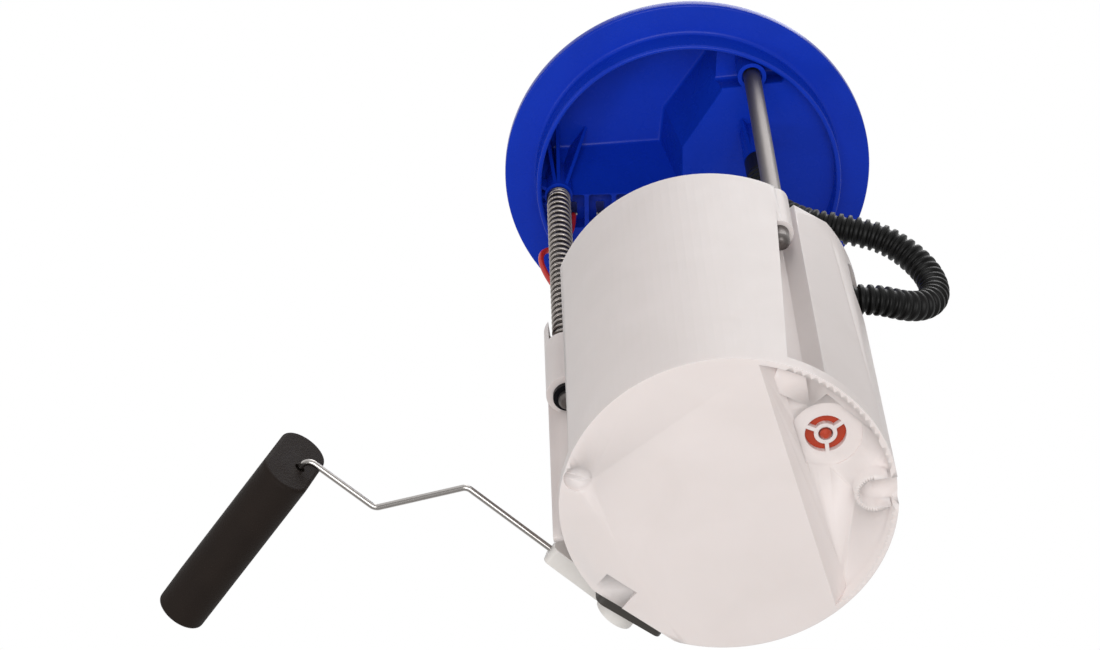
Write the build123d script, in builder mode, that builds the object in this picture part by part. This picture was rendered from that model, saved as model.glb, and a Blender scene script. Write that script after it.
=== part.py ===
"""In-tank fuel pump module: flange on two guide rods, sliding reservoir, electric pump,
level sender with float arm.  Millimetres, +Z up.

Origin: centre of the plug skirt at the underside of the flange rim, the face that
seats on the tank.  Everything else hangs below it.
"""

from build123d import *
from math import asin, cos, degrees, radians, sin, sqrt, tan
import os

os.makedirs("parts", exist_ok=True)

# ---------------------------------------------------------------- driving dimensions
# Flange
rim_radius = 65.0
rim_thickness = 4.0
plug_radius = 54.0
plug_depth = 10.0
plug_wall = 2.6
deck_underside = -2.0
deck_thickness = 3.0
hood_ceiling = 20.0
hood_wall = 2.5
edge_round = 1.0

# Guide rods and their places round the flange
rod_radius = 3.0
rod_pitch_radius = 46.5
spring_rod_angle = 180.0
plain_rod_angle = -55.0
rod_top = 5.0
spring_rod_tip = -151.0
plain_rod_tip = -135.5
boss_bottom = -12.0
boss_wall = 2.0
running_clearance = 0.06

# Return spring
spring_wire = 1.15
spring_bore_clearance = 0.15
spring_pitch = 3.6
spring_seat = -119.0
soft_gap = 0.3

# Reservoir
reservoir_radius = 50.5
reservoir_top = -103.0
reservoir_bottom = -224.0
reservoir_wall = 1.8
floor_thickness = 2.6
pad_height = 2.0
recess_depth = 5.0
guide_top = -105.0
plain_guide_bottom = -128.0
spring_guide_bottom = -146.0
window_width = 32.0
window_top = -106.0
window_bottom = -136.0
sender_angle = 133.0
sender_flat = 48.2
sender_flat_top = -165.0
valve_x = 31.0
valve_y = -17.3
grate_radius = 6.2
grate_hub_radius = 3.45
grate_hole_radius = 2.2
spoke_width = 1.2

# Pump
pump_radius = 19.0
can_wall = 1.2
can_top = -138.0
can_bottom = -200.0
cover_height = 9.0
shaft_radius = 1.5
armature_radius = 12.0
armature_length = 34.0
magnet_thickness = 3.8
impeller_radius = 15.5
impeller_thickness = 3.2

# Hose and leads
hose_radius = 5.0
hose_bore_radius = 3.6
nipple_x = 22.3
nipple_y = -9.5
nipple_bottom = -30.0
hose_start = -16.0
hose_port_height = -119.0
lead_radius = 1.0

# Terminals in the flange
terminal_count = 4
terminal_pitch = 9.7
terminal_x = -42.3
terminal_y = 8.2
terminal_turn = 7.0

# Level arm and float, in the sender's plane: across, height, outward
pivot_across = -2.0
pivot_height = -205.0
pivot_radius = 2.0
arm_wire_radius = 1.0
arm_plane = 58.0
arm_offset = 24.0
arm_bend_radius = 3.0
float_length = 62.0
float_width = 16.0
float_height = 36.0
float_gap = 4.0
float_lean = 15.0

# Electrical blades
blade_width = 2.8
blade_thickness = 0.8
blade_bottom = -4.0
blade_length = 10.0
pump_blade_length = 7.0
pump_terminal_places = ((-12.0, 4.8), (-12.0, -4.8))

# Cover and cradle
cover_top = -103.5
cover_plate = 2.0
lug_height = 1.6
isolator_thickness = 1.8
cradle_bottom = -170.0
cradle_ring_height = 14.0
lead_passage_x = -20.5
lead_passage_y = 10.0
lead_passage_radius = 7.0

# Pump details
armature_middle = -172.0
commutator_bottom = -153.0
commutator_height = 9.0
commutator_radius = 6.0
brush_depth = 4.5
brush_width = 5.0
brush_centre = 8.6
brush_bottom = -151.0
outlet_cover_height = 9.0
pump_nipple_radius = 3.3
nipple_top = -121.0
inlet_offset = 9.0
inlet_bore = 3.4

# Strainer, jet and outlet elbow
strainer_x = -6.0
strainer_radius = 30.0
strainer_bottom = -215.9
strainer_height = 5.4
jet_x = 36.0
jet_start = 6.0
jet_length = 22.0
jet_height = -211.5
port_x = 50.0
port_y = -8.0
elbow_top = -111.0
barb_reach = 22.0

# Level sender
sender_depth = 5.4
card_thickness = 0.8
card_across = -2.0
card_height = -190.0
card_width = 18.0
card_length = 10.0
holder_bottom = 54.4
holder_top = 60.2
hub_radius = 6.5
holder_length = 34.0
wire_in_float = 36.0

# ---------------------------------------------------------------- values that follow
deck_top = deck_underside + deck_thickness
boss_radius = rod_radius + boss_wall
spring_inner = rod_radius + spring_bore_clearance
spring_mean = spring_inner + spring_wire / 2
spring_outer = spring_inner + spring_wire
plain_guide_radius = rod_radius + 1.6
guide_bore = rod_radius + running_clearance


def polar(radius, angle):
    """Point in plan at a radius and an angle in degrees."""
    return (radius * cos(radians(angle)), radius * sin(radians(angle)))


spring_rod_x, spring_rod_y = polar(rod_pitch_radius, spring_rod_angle)
plain_rod_x, plain_rod_y = polar(rod_pitch_radius, plain_rod_angle)


# ---------------------------------------------------------------- flange
# The hood is a deep sloping pocket over one side of the deck.  Its outline is given at
# the deck and, shrunk by the draft of its walls, at the ceiling.
hood_at_deck = [(-52, 0.5), (-2.8, 5.5), (-0.7, -11.5), (15.5, -31.3), (20, -56), (-52, -56)]
hood_at_ceiling = [(-52, -7.0), (-8.0, -4.5), (-5.0, -17.6), (12.1, -36.9), (17, -56), (-52, -56)]
rod_bay = [(13, -32.3), (37, -31.6), (46, -42), (30, -60), (13, -60)]
rod_bay_ceiling = 6.0
hood_radius = plug_radius - plug_wall - 2.8


def hood_form(shell):
    """Hood pocket, or the block that covers it when shell is the wall thickness."""
    with BuildPart() as form:
        with BuildSketch(Plane.XY.offset(deck_underside - 1 + shell)):
            with BuildLine():
                Polyline(*hood_at_deck, close=True)
            make_face()
            if shell:
                offset(amount=shell, kind=Kind.INTERSECTION)
        with BuildSketch(Plane.XY.offset(hood_ceiling + shell)):
            with BuildLine():
                Polyline(*hood_at_ceiling, close=True)
            make_face()
            if shell:
                offset(amount=shell, kind=Kind.INTERSECTION)
        loft()
        with BuildSketch(Plane.XY.offset(deck_underside - 5)):
            Circle(hood_radius + shell)
        extrude(amount=hood_ceiling + 30, mode=Mode.INTERSECT)
    return form.part


def rod_bay_form(shell):
    """Shallow bay round the plain rod's socket, or the block that covers it."""
    with BuildPart() as form:
        with BuildSketch(Plane.XY.offset(deck_underside - 1 + shell)):
            with BuildLine():
                Polyline(*rod_bay, close=True)
            make_face()
            if shell:
                offset(amount=shell, kind=Kind.INTERSECTION)
        extrude(amount=rod_bay_ceiling - deck_underside + 1)
        with BuildSketch(Plane.XY.offset(deck_underside - 5)):
            Circle(hood_radius + shell)
        extrude(amount=rod_bay_ceiling + 20, mode=Mode.INTERSECT)
    return form.part


terminal_row = Plane(
    origin=(terminal_x, terminal_y, 0),
    x_dir=(cos(radians(terminal_turn)), sin(radians(terminal_turn)), 0),
    z_dir=(0, 0, 1),
)
row_middle = (terminal_count - 1) * terminal_pitch / 2
cell_width = terminal_pitch - 1.6
cell_depth = 13.0
cell_top = 5.0
socket_floor = 9.0
socket_height = 15.0
socket_wall = 1.8
socket_length = 2 * row_middle + 11.4
socket_width = 15.4
outlet_height = 12.0
outlet_radius = 4.0
outlet_bore = 2.5
outlet_reach = 34.0
outlet_bead = 10.0
nipple_radius = hose_bore_radius
rib_thickness = 1.2
rib_bottom = -8.0

with BuildPart() as flange:
    # rim, plug skirt and deck turned in one profile
    with BuildSketch(Plane.XZ):
        with BuildLine():
            Polyline(
                (0, deck_underside),
                (plug_radius - plug_wall, deck_underside),
                (plug_radius - plug_wall, -plug_depth),
                (plug_radius, -plug_depth),
                (plug_radius, 0),
                (rim_radius, 0),
                (rim_radius, rim_thickness),
                (plug_radius - plug_wall, rim_thickness),
                (plug_radius - plug_wall, deck_top),
                (0, deck_top),
                close=True,
            )
        make_face()
    revolve(axis=Axis.Z)
    rim_edges = flange.edges().filter_by(GeomType.CIRCLE).filter_by(lambda e: e.radius > rim_radius - 0.1)
    fillet(rim_edges, radius=edge_round)
    # outer blocks of the hood, the rod bay and the terminal housing
    add(hood_form(hood_wall))
    add(rod_bay_form(hood_wall))
    with BuildSketch(terminal_row.offset(deck_underside)):
        with Locations((row_middle, 0)):
            RectangleRounded(socket_length + 2 * socket_wall, socket_width + 2 * socket_wall, 3)
    extrude(amount=socket_floor + socket_height - deck_underside)
    # fuel outlet: a post on the deck and a spigot with a retaining bead
    with BuildSketch(Plane.XY.offset(deck_underside)):
        with Locations((nipple_x, nipple_y)):
            Circle(outlet_radius + 2)
    extrude(amount=outlet_height + outlet_radius + 2 - deck_underside)
    with BuildSketch(Plane.YZ.offset(nipple_x)):
        with Locations((nipple_y, outlet_height)):
            Circle(outlet_radius)
    extrude(amount=outlet_reach)
    with BuildSketch(Plane.YZ.offset(nipple_x + outlet_reach - outlet_bead)):
        with Locations((nipple_y, outlet_height)):
            Circle(outlet_radius + 1.1)
    extrude(amount=2)
    # hollow the hood, the rod bay, the socket and the terminal cells
    add(hood_form(0), mode=Mode.SUBTRACT)
    add(rod_bay_form(0), mode=Mode.SUBTRACT)
    with BuildSketch(terminal_row.offset(socket_floor)):
        with Locations((row_middle, 0)):
            RectangleRounded(socket_length, socket_width, 1.4)
    extrude(amount=socket_height + 1, mode=Mode.SUBTRACT)
    with BuildSketch(terminal_row.offset(deck_underside)):
        for cell in range(terminal_count):
            with Locations((cell * terminal_pitch, 0)):
                Rectangle(cell_width, cell_depth)
    extrude(amount=cell_top - deck_underside, mode=Mode.SUBTRACT)
    # slots that the terminal blades pass through
    with BuildSketch(terminal_row.offset(cell_top)):
        for cell in range(terminal_count):
            with Locations((cell * terminal_pitch, 0)):
                Rectangle(blade_width, blade_thickness)
    extrude(amount=socket_floor - cell_top, mode=Mode.SUBTRACT)
    # rod sockets
    with BuildSketch(Plane.XY.offset(boss_bottom)):
        with Locations((spring_rod_x, spring_rod_y), (plain_rod_x, plain_rod_y)):
            Circle(boss_radius)
    extrude(amount=rod_top + 2 - boss_bottom)
    # ribs from the spring rod's socket: two to the hood's end wall, one slanted, three to the skirt
    with BuildSketch(Plane.XY.offset(rib_bottom)):
        for angle, reach in ((-97, 19), (-82, 19), (-48, 17), (150, 7.5), (180, 6), (215, 8)):
            with Locations(Location((spring_rod_x, spring_rod_y, 0), (0, 0, angle))):
                with Locations((boss_radius + (reach - boss_radius) / 2 - 0.5, 0)):
                    Rectangle(reach - boss_radius + 1, rib_thickness)
    extrude(amount=rod_top - rib_bottom)
    with BuildSketch(Plane.XY.offset(boss_bottom)):
        with Locations((spring_rod_x, spring_rod_y), (plain_rod_x, plain_rod_y)):
            Circle(rod_radius)
    extrude(amount=rod_top - boss_bottom, mode=Mode.SUBTRACT)
    # flared mouth of the plain rod's socket
    with BuildSketch(Plane.XY.offset(boss_bottom)):
        with Locations((plain_rod_x, plain_rod_y)):
            Circle(rod_radius + 0.5)
    extrude(amount=3, mode=Mode.SUBTRACT)
    # fuel nipple under the deck with its rib, drilled through to the outlet
    with BuildSketch(Plane.XY.offset(hose_start + 1)):
        with Locations((nipple_x, nipple_y)):
            Circle(nipple_radius + 1.2)
    extrude(amount=deck_underside - hose_start - 1)
    with BuildSketch(Plane.XY.offset(nipple_bottom)):
        with Locations((nipple_x, nipple_y)):
            Circle(nipple_radius)
    extrude(amount=deck_underside - nipple_bottom)
    with BuildSketch(Plane.YZ.offset(nipple_x - rib_thickness / 2)):
        with BuildLine():
            Polyline(
                (nipple_y, deck_underside),
                (nipple_y - 11, deck_underside),
                (nipple_y - nipple_radius - 1, hose_start + 3),
                (nipple_y, hose_start + 3),
                close=True,
            )
        make_face()
    extrude(amount=rib_thickness)
    with BuildSketch(Plane.XY.offset(nipple_bottom)):
        with Locations((nipple_x, nipple_y)):
            Circle(outlet_bore)
    extrude(amount=outlet_height - nipple_bottom, mode=Mode.SUBTRACT)
    with BuildSketch(Plane.YZ.offset(nipple_x)):
        with Locations((nipple_y, outlet_height)):
            Circle(outlet_bore)
    extrude(amount=outlet_reach, mode=Mode.SUBTRACT)

with BuildPart() as connector_terminals:
    with BuildSketch(terminal_row.offset(blade_bottom)):
        for cell in range(terminal_count):
            with Locations((cell * terminal_pitch, 0)):
                Rectangle(blade_width, blade_thickness)
    extrude(amount=socket_floor + blade_length - blade_bottom)

# ---------------------------------------------------------------- rods, ring and spring
groove_depth = 0.5
ring_thickness = 1.8
ring_radius = 4.7
ring_top = spring_guide_bottom - soft_gap

with BuildPart() as guide_rod_spring_side:
    with BuildSketch(Plane.XY.offset(spring_rod_tip)):
        with Locations((spring_rod_x, spring_rod_y)):
            Circle(rod_radius)
    extrude(amount=rod_top - spring_rod_tip)
    chamfer(guide_rod_spring_side.edges().group_by(Axis.Z)[0], length=0.8)
    with BuildSketch(Plane.XY.offset(ring_top)):
        with Locations((spring_rod_x, spring_rod_y)):
            Circle(rod_radius + 1)
            Circle(rod_radius - groove_depth, mode=Mode.SUBTRACT)
    extrude(amount=-ring_thickness, mode=Mode.SUBTRACT)

with BuildPart() as rod_retaining_ring:
    with BuildSketch(Plane.XY.offset(ring_top)):
        with Locations((spring_rod_x, spring_rod_y)):
            Circle(ring_radius)
            Circle(rod_radius - groove_depth, mode=Mode.SUBTRACT)
    extrude(amount=-ring_thickness)

with BuildPart() as guide_rod_plain:
    with BuildSketch(Plane.XY.offset(plain_rod_tip)):
        with Locations((plain_rod_x, plain_rod_y)):
            Circle(rod_radius)
    extrude(amount=rod_top - plain_rod_tip)
    fillet(guide_rod_plain.edges().group_by(Axis.Z)[0], radius=rod_radius - 0.8)

spring_bottom = spring_seat + soft_gap
spring_length = boss_bottom - spring_bottom
spring_place = (spring_rod_x, spring_rod_y, spring_bottom)

with BuildPart() as return_spring:
    with BuildLine():
        coil = Helix(
            pitch=spring_pitch,
            height=spring_length - spring_wire,
            radius=spring_mean,
            center=(spring_rod_x, spring_rod_y, spring_bottom + spring_wire / 2),
        )
    with BuildSketch(Plane(origin=coil @ 0, z_dir=coil % 0)):
        Circle(spring_wire / 2)
    sweep(path=coil, is_frenet=True)
    # closed ends
    for level in (spring_bottom + spring_wire / 2, boss_bottom - spring_wire / 2):
        with BuildSketch(Plane((spring_rod_x, spring_rod_y, level), x_dir=(1, 0, 0), z_dir=(0, -1, 0))):
            with Locations((spring_mean, 0)):
                Circle(spring_wire / 2)
        revolve(axis=Axis((spring_rod_x, spring_rod_y, 0), (0, 0, 1)))

# ---------------------------------------------------------------- reservoir
channel_floor = rod_pitch_radius - 5.3
channel_bottom = -219.0


def plain_channel(shell):
    """Channel down the wall for the plain rod, wider and longer by shell when it is the wall."""
    with BuildPart() as form:
        for level, left, right in ((reservoir_top + 1, -57.0, -32.0), (channel_bottom - shell, -63.6, -19.0)):
            with BuildSketch(Plane.XY.offset(level)):
                with BuildLine():
                    Polyline(
                        polar(reservoir_radius + 8, left),
                        polar(channel_floor, left),
                        polar(channel_floor, -48.5),
                        polar(reservoir_radius - 2.6, -46.5),
                        polar(reservoir_radius + 0.05, right),
                        polar(reservoir_radius + 8, right),
                        close=True,
                    )
                make_face()
                if shell:
                    offset(amount=shell, kind=Kind.INTERSECTION)
        loft()
    return form.part


recess_left = spring_rod_x + 6.0
recess_front = -23.2
recess_back = 6.0


def spring_recess(shell):
    """Recess in the wall for the spring rod, wider and longer by shell when it is the wall."""
    with BuildPart() as form:
        with BuildSketch(Plane.XY.offset(channel_bottom - shell)):
            with BuildLine():
                Polyline(
                    (-reservoir_radius - 8, recess_front - 2),
                    (-reservoir_radius + 5.6, recess_front),
                    (recess_left, recess_front + 3),
                    (recess_left, recess_back),
                    (-reservoir_radius - 8, recess_back),
                    close=True,
                )
            make_face()
            if shell:
                offset(amount=shell, kind=Kind.INTERSECTION)
        extrude(amount=reservoir_top + 1 - channel_bottom + shell)
    return form.part


def sender_plane(outward):
    """Plane facing out of the wall at the sender: x runs across it, y is height."""
    normal = (cos(radians(sender_angle)), sin(radians(sender_angle)), 0)
    across = (-normal[1], normal[0], 0)
    origin = (outward * normal[0], outward * normal[1], 0)
    return Plane(origin=origin, x_dir=across, z_dir=normal)


def sender_recess(shell):
    """Flat on the wall that carries the level sender."""
    with BuildPart() as form:
        with BuildSketch(sender_plane(sender_flat - shell)):
            with BuildLine():
                Polyline(
                    (-25, reservoir_bottom - 1),
                    (25, reservoir_bottom - 1),
                    (25, sender_flat_top + shell),
                    (-25, sender_flat_top + shell),
                    close=True,
                )
            make_face()
        extrude(amount=10)
    return form.part


def valve_recess(shell):
    """Space under the raised floor on the valve's side, or the block above it."""
    with BuildPart() as form:
        with BuildSketch(Plane.XY.offset(reservoir_bottom - 1)):
            with BuildLine():
                Polyline((11.7, -60), (29.6, 50), (70, 50), (70, -60), close=True)
            make_face()
            if shell:
                offset(amount=shell, kind=Kind.INTERSECTION)
        extrude(amount=recess_depth + 1 + shell)
    return form.part


inner_radius = reservoir_radius - reservoir_wall
recess_floor = reservoir_bottom + recess_depth

with BuildPart() as cavity:
    with BuildSketch(Plane.XY.offset(reservoir_bottom + floor_thickness)):
        Circle(inner_radius)
    extrude(amount=reservoir_top + 2 - reservoir_bottom - floor_thickness)
    add(plain_channel(reservoir_wall), mode=Mode.SUBTRACT)
    add(spring_recess(reservoir_wall), mode=Mode.SUBTRACT)
    add(sender_recess(reservoir_wall), mode=Mode.SUBTRACT)
    add(valve_recess(floor_thickness), mode=Mode.SUBTRACT)

with BuildPart() as valve_well:
    add(valve_recess(0))
    with BuildSketch(Plane.XY.offset(reservoir_bottom - 2)):
        Circle(inner_radius)
    extrude(amount=recess_depth + 4, mode=Mode.INTERSECT)
    add(plain_channel(reservoir_wall), mode=Mode.SUBTRACT)

socket_x, socket_y, socket_radius = 43.5, 2.0, 4.8
half_hole_x, half_hole_y, half_hole_radius = -43.1, -16.1, 4.3

with BuildPart() as reservoir:
    with BuildSketch(Plane.XY.offset(reservoir_bottom)):
        Circle(reservoir_radius)
    extrude(amount=reservoir_top - reservoir_bottom)
    add(plain_channel(0), mode=Mode.SUBTRACT)
    add(spring_recess(0), mode=Mode.SUBTRACT)
    add(sender_recess(0), mode=Mode.SUBTRACT)
    add(cavity.part, mode=Mode.SUBTRACT)
    add(valve_well.part, mode=Mode.SUBTRACT)
    # sleeve for the plain rod, webbed to the channel's floor
    with BuildSketch(Plane.XY.offset(plain_guide_bottom)):
        with Locations((plain_rod_x, plain_rod_y)):
            Circle(plain_guide_radius)
        with Locations(Location((0, 0, 0), (0, 0, plain_rod_angle))):
            with Locations((channel_floor + 1.5, 0)):
                Rectangle(4, plain_guide_radius)
    extrude(amount=guide_top - plain_guide_bottom)
    # guide for the spring rod with its fin behind
    with BuildSketch(Plane.XY.offset(spring_guide_bottom)):
        with Locations((spring_rod_x, spring_rod_y)):
            Circle(6.9)
    extrude(amount=guide_top - spring_guide_bottom)
    with BuildSketch(Plane.XY.offset(channel_bottom)):
        with Locations(((-reservoir_radius - 3 + recess_left) / 2, recess_back + reservoir_wall / 2)):
            Rectangle(reservoir_radius + 3 + recess_left, reservoir_wall)
    extrude(amount=guide_top - channel_bottom)
    # the spring stands in a cup that is open to the front
    with BuildSketch(Plane.XY.offset(spring_seat)):
        with Locations((spring_rod_x, spring_rod_y)):
            Circle(spring_outer + 0.6)
    extrude(amount=guide_top + 1 - spring_seat, mode=Mode.SUBTRACT)
    with BuildSketch(Plane.XY.offset(spring_seat + 2)):
        with Locations((spring_rod_x, spring_rod_y - 5)):
            Rectangle(2 * spring_outer + 1.2, 10)
    extrude(amount=guide_top + 1 - spring_seat, mode=Mode.SUBTRACT)
    # running bores of both guides
    with BuildSketch(Plane.XY.offset(spring_guide_bottom - 1)):
        with Locations((spring_rod_x, spring_rod_y), (plain_rod_x, plain_rod_y)):
            Circle(guide_bore)
    extrude(amount=reservoir_top + 2 - spring_guide_bottom, mode=Mode.SUBTRACT)
    # window for the hose
    with BuildSketch(Plane.YZ.offset(inner_radius - 8)):
        with Locations((0, (window_top + window_bottom) / 2)):
            RectangleRounded(window_width, window_top - window_bottom, 9)
    extrude(amount=12, mode=Mode.SUBTRACT)
    # three-spoke grate under the umbrella valve, in a shallow dish
    with BuildSketch(Plane.XY.offset(recess_floor)):
        with Locations((valve_x, valve_y)):
            Circle(grate_radius)
            Circle(grate_hub_radius, mode=Mode.SUBTRACT)
            for angle in (30, 150, 270):
                with Locations(Location((0, 0, 0), (0, 0, angle))):
                    with Locations((grate_radius / 2, 0)):
                        Rectangle(grate_radius + 1, spoke_width, mode=Mode.SUBTRACT)
            Circle(grate_hole_radius)
    extrude(amount=floor_thickness, mode=Mode.SUBTRACT)
    # half-round locating socket at the edge of the valve's side
    with BuildSketch(Plane.XY.offset(reservoir_bottom)):
        with Locations((socket_x, socket_y)):
            Circle(socket_radius + 1.6)
    extrude(amount=recess_depth)
    with BuildSketch(Plane.XY.offset(reservoir_bottom)):
        with Locations((socket_x, socket_y)):
            Circle(socket_radius)
        with Locations((socket_x + 6, socket_y)):
            Rectangle(12, 2 * socket_radius)
    extrude(amount=recess_depth, mode=Mode.SUBTRACT)
    # half-round hole under the spring rod's recess, and a notch in the standing edge
    with BuildSketch(Plane.XY.offset(reservoir_bottom)):
        with Locations((half_hole_x, half_hole_y)):
            Circle(half_hole_radius)
        with Locations(Location((0, 0, 0), (0, 0, 133))):
            with Locations((reservoir_radius - 4, 10)):
                Rectangle(12, 11)
    extrude(amount=2.0, mode=Mode.SUBTRACT)
    # lugs that the cover rests on
    with BuildSketch(Plane.XY.offset(cover_top - cover_plate - lug_height)):
        for angle in (45, 80, 105, 225, 255, 285):
            with Locations(Location((0, 0, 0), (0, 0, angle))):
                with Locations((inner_radius - 0.4, 0)):
                    Rectangle(2.4, 7)
    extrude(amount=lug_height)

# ---------------------------------------------------------------- cover with the pump's cradle
cradle_inner = pump_radius + isolator_thickness
cradle_outer = cradle_inner + 2.0

with BuildPart() as reservoir_cover:
    with BuildSketch(Plane.XY.offset(cover_top - cover_plate)):
        Circle(inner_radius - soft_gap)
    extrude(amount=cover_plate)
    add(plain_channel(reservoir_wall + soft_gap), mode=Mode.SUBTRACT)
    add(spring_recess(reservoir_wall + soft_gap), mode=Mode.SUBTRACT)
    # openings: three fuel slots, the passage for the leads and room for the plain rod's sleeve
    with BuildSketch(Plane.XY.offset(cover_top - cover_plate)):
        with PolarLocations(33, 3, start_angle=75, angular_range=240, rotate=True):
            SlotOverall(20, 6, rotation=90)
        with Locations((lead_passage_x, lead_passage_y)):
            Circle(lead_passage_radius)
        with Locations((plain_rod_x, plain_rod_y)):
            Circle(plain_guide_radius + soft_gap)
    extrude(amount=cover_plate, mode=Mode.SUBTRACT)
    # three straps and the ring that hold the pump
    with BuildSketch(Plane.XY.offset(cradle_bottom)):
        Circle(cradle_outer)
        Circle(cradle_inner, mode=Mode.SUBTRACT)
    extrude(amount=cradle_ring_height)
    with BuildSketch(Plane.XY.offset(cradle_bottom)):
        with PolarLocations((cradle_inner + cradle_outer) / 2, 3, start_angle=60):
            Rectangle(cradle_outer - cradle_inner - 0.2, 10)
    extrude(amount=cover_top - cover_plate - cradle_bottom)

with BuildPart() as pump_isolator:
    with BuildSketch(Plane.XY.offset(cradle_bottom + 1)):
        Circle(cradle_inner)
        Circle(pump_radius, mode=Mode.SUBTRACT)
    extrude(amount=cradle_ring_height - 2)

# ---------------------------------------------------------------- pump
can_inner = pump_radius - can_wall
spigot_depth = 4.0
chamber_height = impeller_thickness + 0.4
plate_thickness = 3.5
bearing_radius = 4.0
bearing_bore = shaft_radius + running_clearance
thrust_depth = 3.5

with BuildPart() as pump_can:
    with BuildSketch(Plane.XY.offset(can_bottom)):
        Circle(pump_radius)
        Circle(can_inner, mode=Mode.SUBTRACT)
    extrude(amount=can_top - can_bottom)

with BuildPart() as pump_inlet_cover:
    with BuildSketch(Plane.XY.offset(can_bottom - cover_height)):
        Circle(pump_radius)
    extrude(amount=cover_height)
    with BuildSketch(Plane.XY.offset(can_bottom - chamber_height)):
        Circle(impeller_radius + 0.3)
    extrude(amount=chamber_height, mode=Mode.SUBTRACT)
    with BuildSketch(Plane.XY.offset(can_bottom - chamber_height - thrust_depth)):
        Circle(bearing_bore)
    extrude(amount=thrust_depth, mode=Mode.SUBTRACT)
    with BuildSketch(Plane.XY.offset(can_bottom - cover_height)):
        with Locations((inlet_offset, 0)):
            Circle(inlet_bore)
    extrude(amount=cover_height - chamber_height, mode=Mode.SUBTRACT)

with BuildPart() as pump_port_plate:
    with BuildSketch(Plane.XY.offset(can_bottom)):
        Circle(can_inner)
        Circle(bearing_radius, mode=Mode.SUBTRACT)
        with Locations((-inlet_offset - 2, 0)):
            Circle(inlet_bore - 1, mode=Mode.SUBTRACT)
    extrude(amount=plate_thickness)

with BuildPart() as pump_outlet_cover:
    with BuildSketch(Plane.XY.offset(can_top)):
        Circle(pump_radius)
    extrude(amount=outlet_cover_height)
    with BuildSketch(Plane.XY.offset(can_top - spigot_depth)):
        Circle(can_inner)
    extrude(amount=spigot_depth)
    with BuildSketch(Plane.XY.offset(can_top)):
        Circle(pump_nipple_radius)
    extrude(amount=nipple_top - can_top)
    with BuildSketch(Plane.XY.offset(can_top - spigot_depth)):
        Circle(bearing_radius)
    extrude(amount=spigot_depth, mode=Mode.SUBTRACT)
    with BuildSketch(Plane.XY.offset(can_top)):
        Circle(2.0)
    extrude(amount=nipple_top - can_top, mode=Mode.SUBTRACT)
    # slots for the brushes and for the terminal blades
    with BuildSketch(Plane.XY.offset(can_top - spigot_depth)):
        with Locations((brush_centre, 0), (-brush_centre, 0)):
            Rectangle(brush_depth, brush_width)
    extrude(amount=spigot_depth, mode=Mode.SUBTRACT)
    with BuildSketch(Plane.XY.offset(can_top + outlet_cover_height - 6)):
        with Locations(*pump_terminal_places):
            Rectangle(blade_width, blade_thickness)
    extrude(amount=6, mode=Mode.SUBTRACT)

with BuildPart() as pump_terminals:
    with BuildSketch(Plane.XY.offset(can_top + outlet_cover_height - 6)):
        with Locations(*pump_terminal_places):
            Rectangle(blade_width, blade_thickness)
    extrude(amount=6 + pump_blade_length)

with BuildPart() as pump_brushes:
    with BuildSketch(Plane.XY.offset(brush_bottom)):
        with Locations((brush_centre, 0), (-brush_centre, 0)):
            Rectangle(brush_depth, brush_width)
    extrude(amount=can_top - brush_bottom)

with BuildPart() as pump_bearings:
    for level, height in ((can_bottom, plate_thickness), (can_top - spigot_depth, spigot_depth)):
        with BuildSketch(Plane.XY.offset(level)):
            Circle(bearing_radius)
            Circle(bearing_bore, mode=Mode.SUBTRACT)
        extrude(amount=height)

magnet_inner = can_inner - magnet_thickness
magnet_bottom = armature_middle - armature_length / 2 - 1
with BuildPart() as pump_magnets:
    with BuildSketch(Plane.XY.offset(magnet_bottom)):
        Circle(can_inner)
        Circle(magnet_inner, mode=Mode.SUBTRACT)
        Rectangle(2 * pump_radius, 12, mode=Mode.SUBTRACT)
    extrude(amount=armature_length + 2)

with BuildPart() as rotor_shaft:
    with BuildSketch(Plane.XY.offset(can_bottom - chamber_height - thrust_depth + soft_gap)):
        Circle(shaft_radius)
    extrude(amount=can_top - can_bottom + chamber_height + thrust_depth - 2 * soft_gap)

slot_count = 8
with BuildPart() as rotor_armature:
    with BuildSketch(Plane.XY.offset(armature_middle - armature_length / 2)):
        Circle(armature_radius)
        Circle(shaft_radius, mode=Mode.SUBTRACT)
        with PolarLocations(armature_radius - 2, slot_count):
            Rectangle(5, 1.6, mode=Mode.SUBTRACT)
    extrude(amount=armature_length)

with BuildPart() as rotor_commutator:
    with BuildSketch(Plane.XY.offset(commutator_bottom)):
        Circle(commutator_radius)
        Circle(shaft_radius, mode=Mode.SUBTRACT)
        with PolarLocations(commutator_radius, slot_count):
            Rectangle(1.6, 0.6, mode=Mode.SUBTRACT)
    extrude(amount=commutator_height)

blade_count = 24
with BuildPart() as pump_impeller:
    with BuildSketch(Plane.XY.offset(can_bottom - chamber_height + 0.2)):
        Circle(impeller_radius)
        Circle(shaft_radius, mode=Mode.SUBTRACT)
        with PolarLocations(impeller_radius - 1.2, blade_count):
            Rectangle(2.0, 2.0, mode=Mode.SUBTRACT)
    extrude(amount=impeller_thickness)

# ---------------------------------------------------------------- strainer, valve and jet
with BuildPart() as intake_strainer:
    with BuildSketch(Plane.XY.offset(strainer_bottom)):
        with Locations((strainer_x, 0)):
            Ellipse(strainer_radius, strainer_radius - 6)
    extrude(amount=strainer_height)
    fillet(intake_strainer.edges(), radius=1.4)
    with BuildSketch(Plane.XY.offset(strainer_bottom + strainer_height - 1.5)):
        with Locations((inlet_offset, 0)):
            Circle(inlet_bore + 1.6)
    extrude(amount=can_bottom - cover_height - strainer_bottom - strainer_height + 1.5)
    with BuildSketch(Plane.XY.offset(strainer_bottom + 2)):
        with Locations((inlet_offset, 0)):
            Circle(inlet_bore)
    extrude(amount=can_bottom - cover_height - strainer_bottom - 2, mode=Mode.SUBTRACT)

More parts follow.
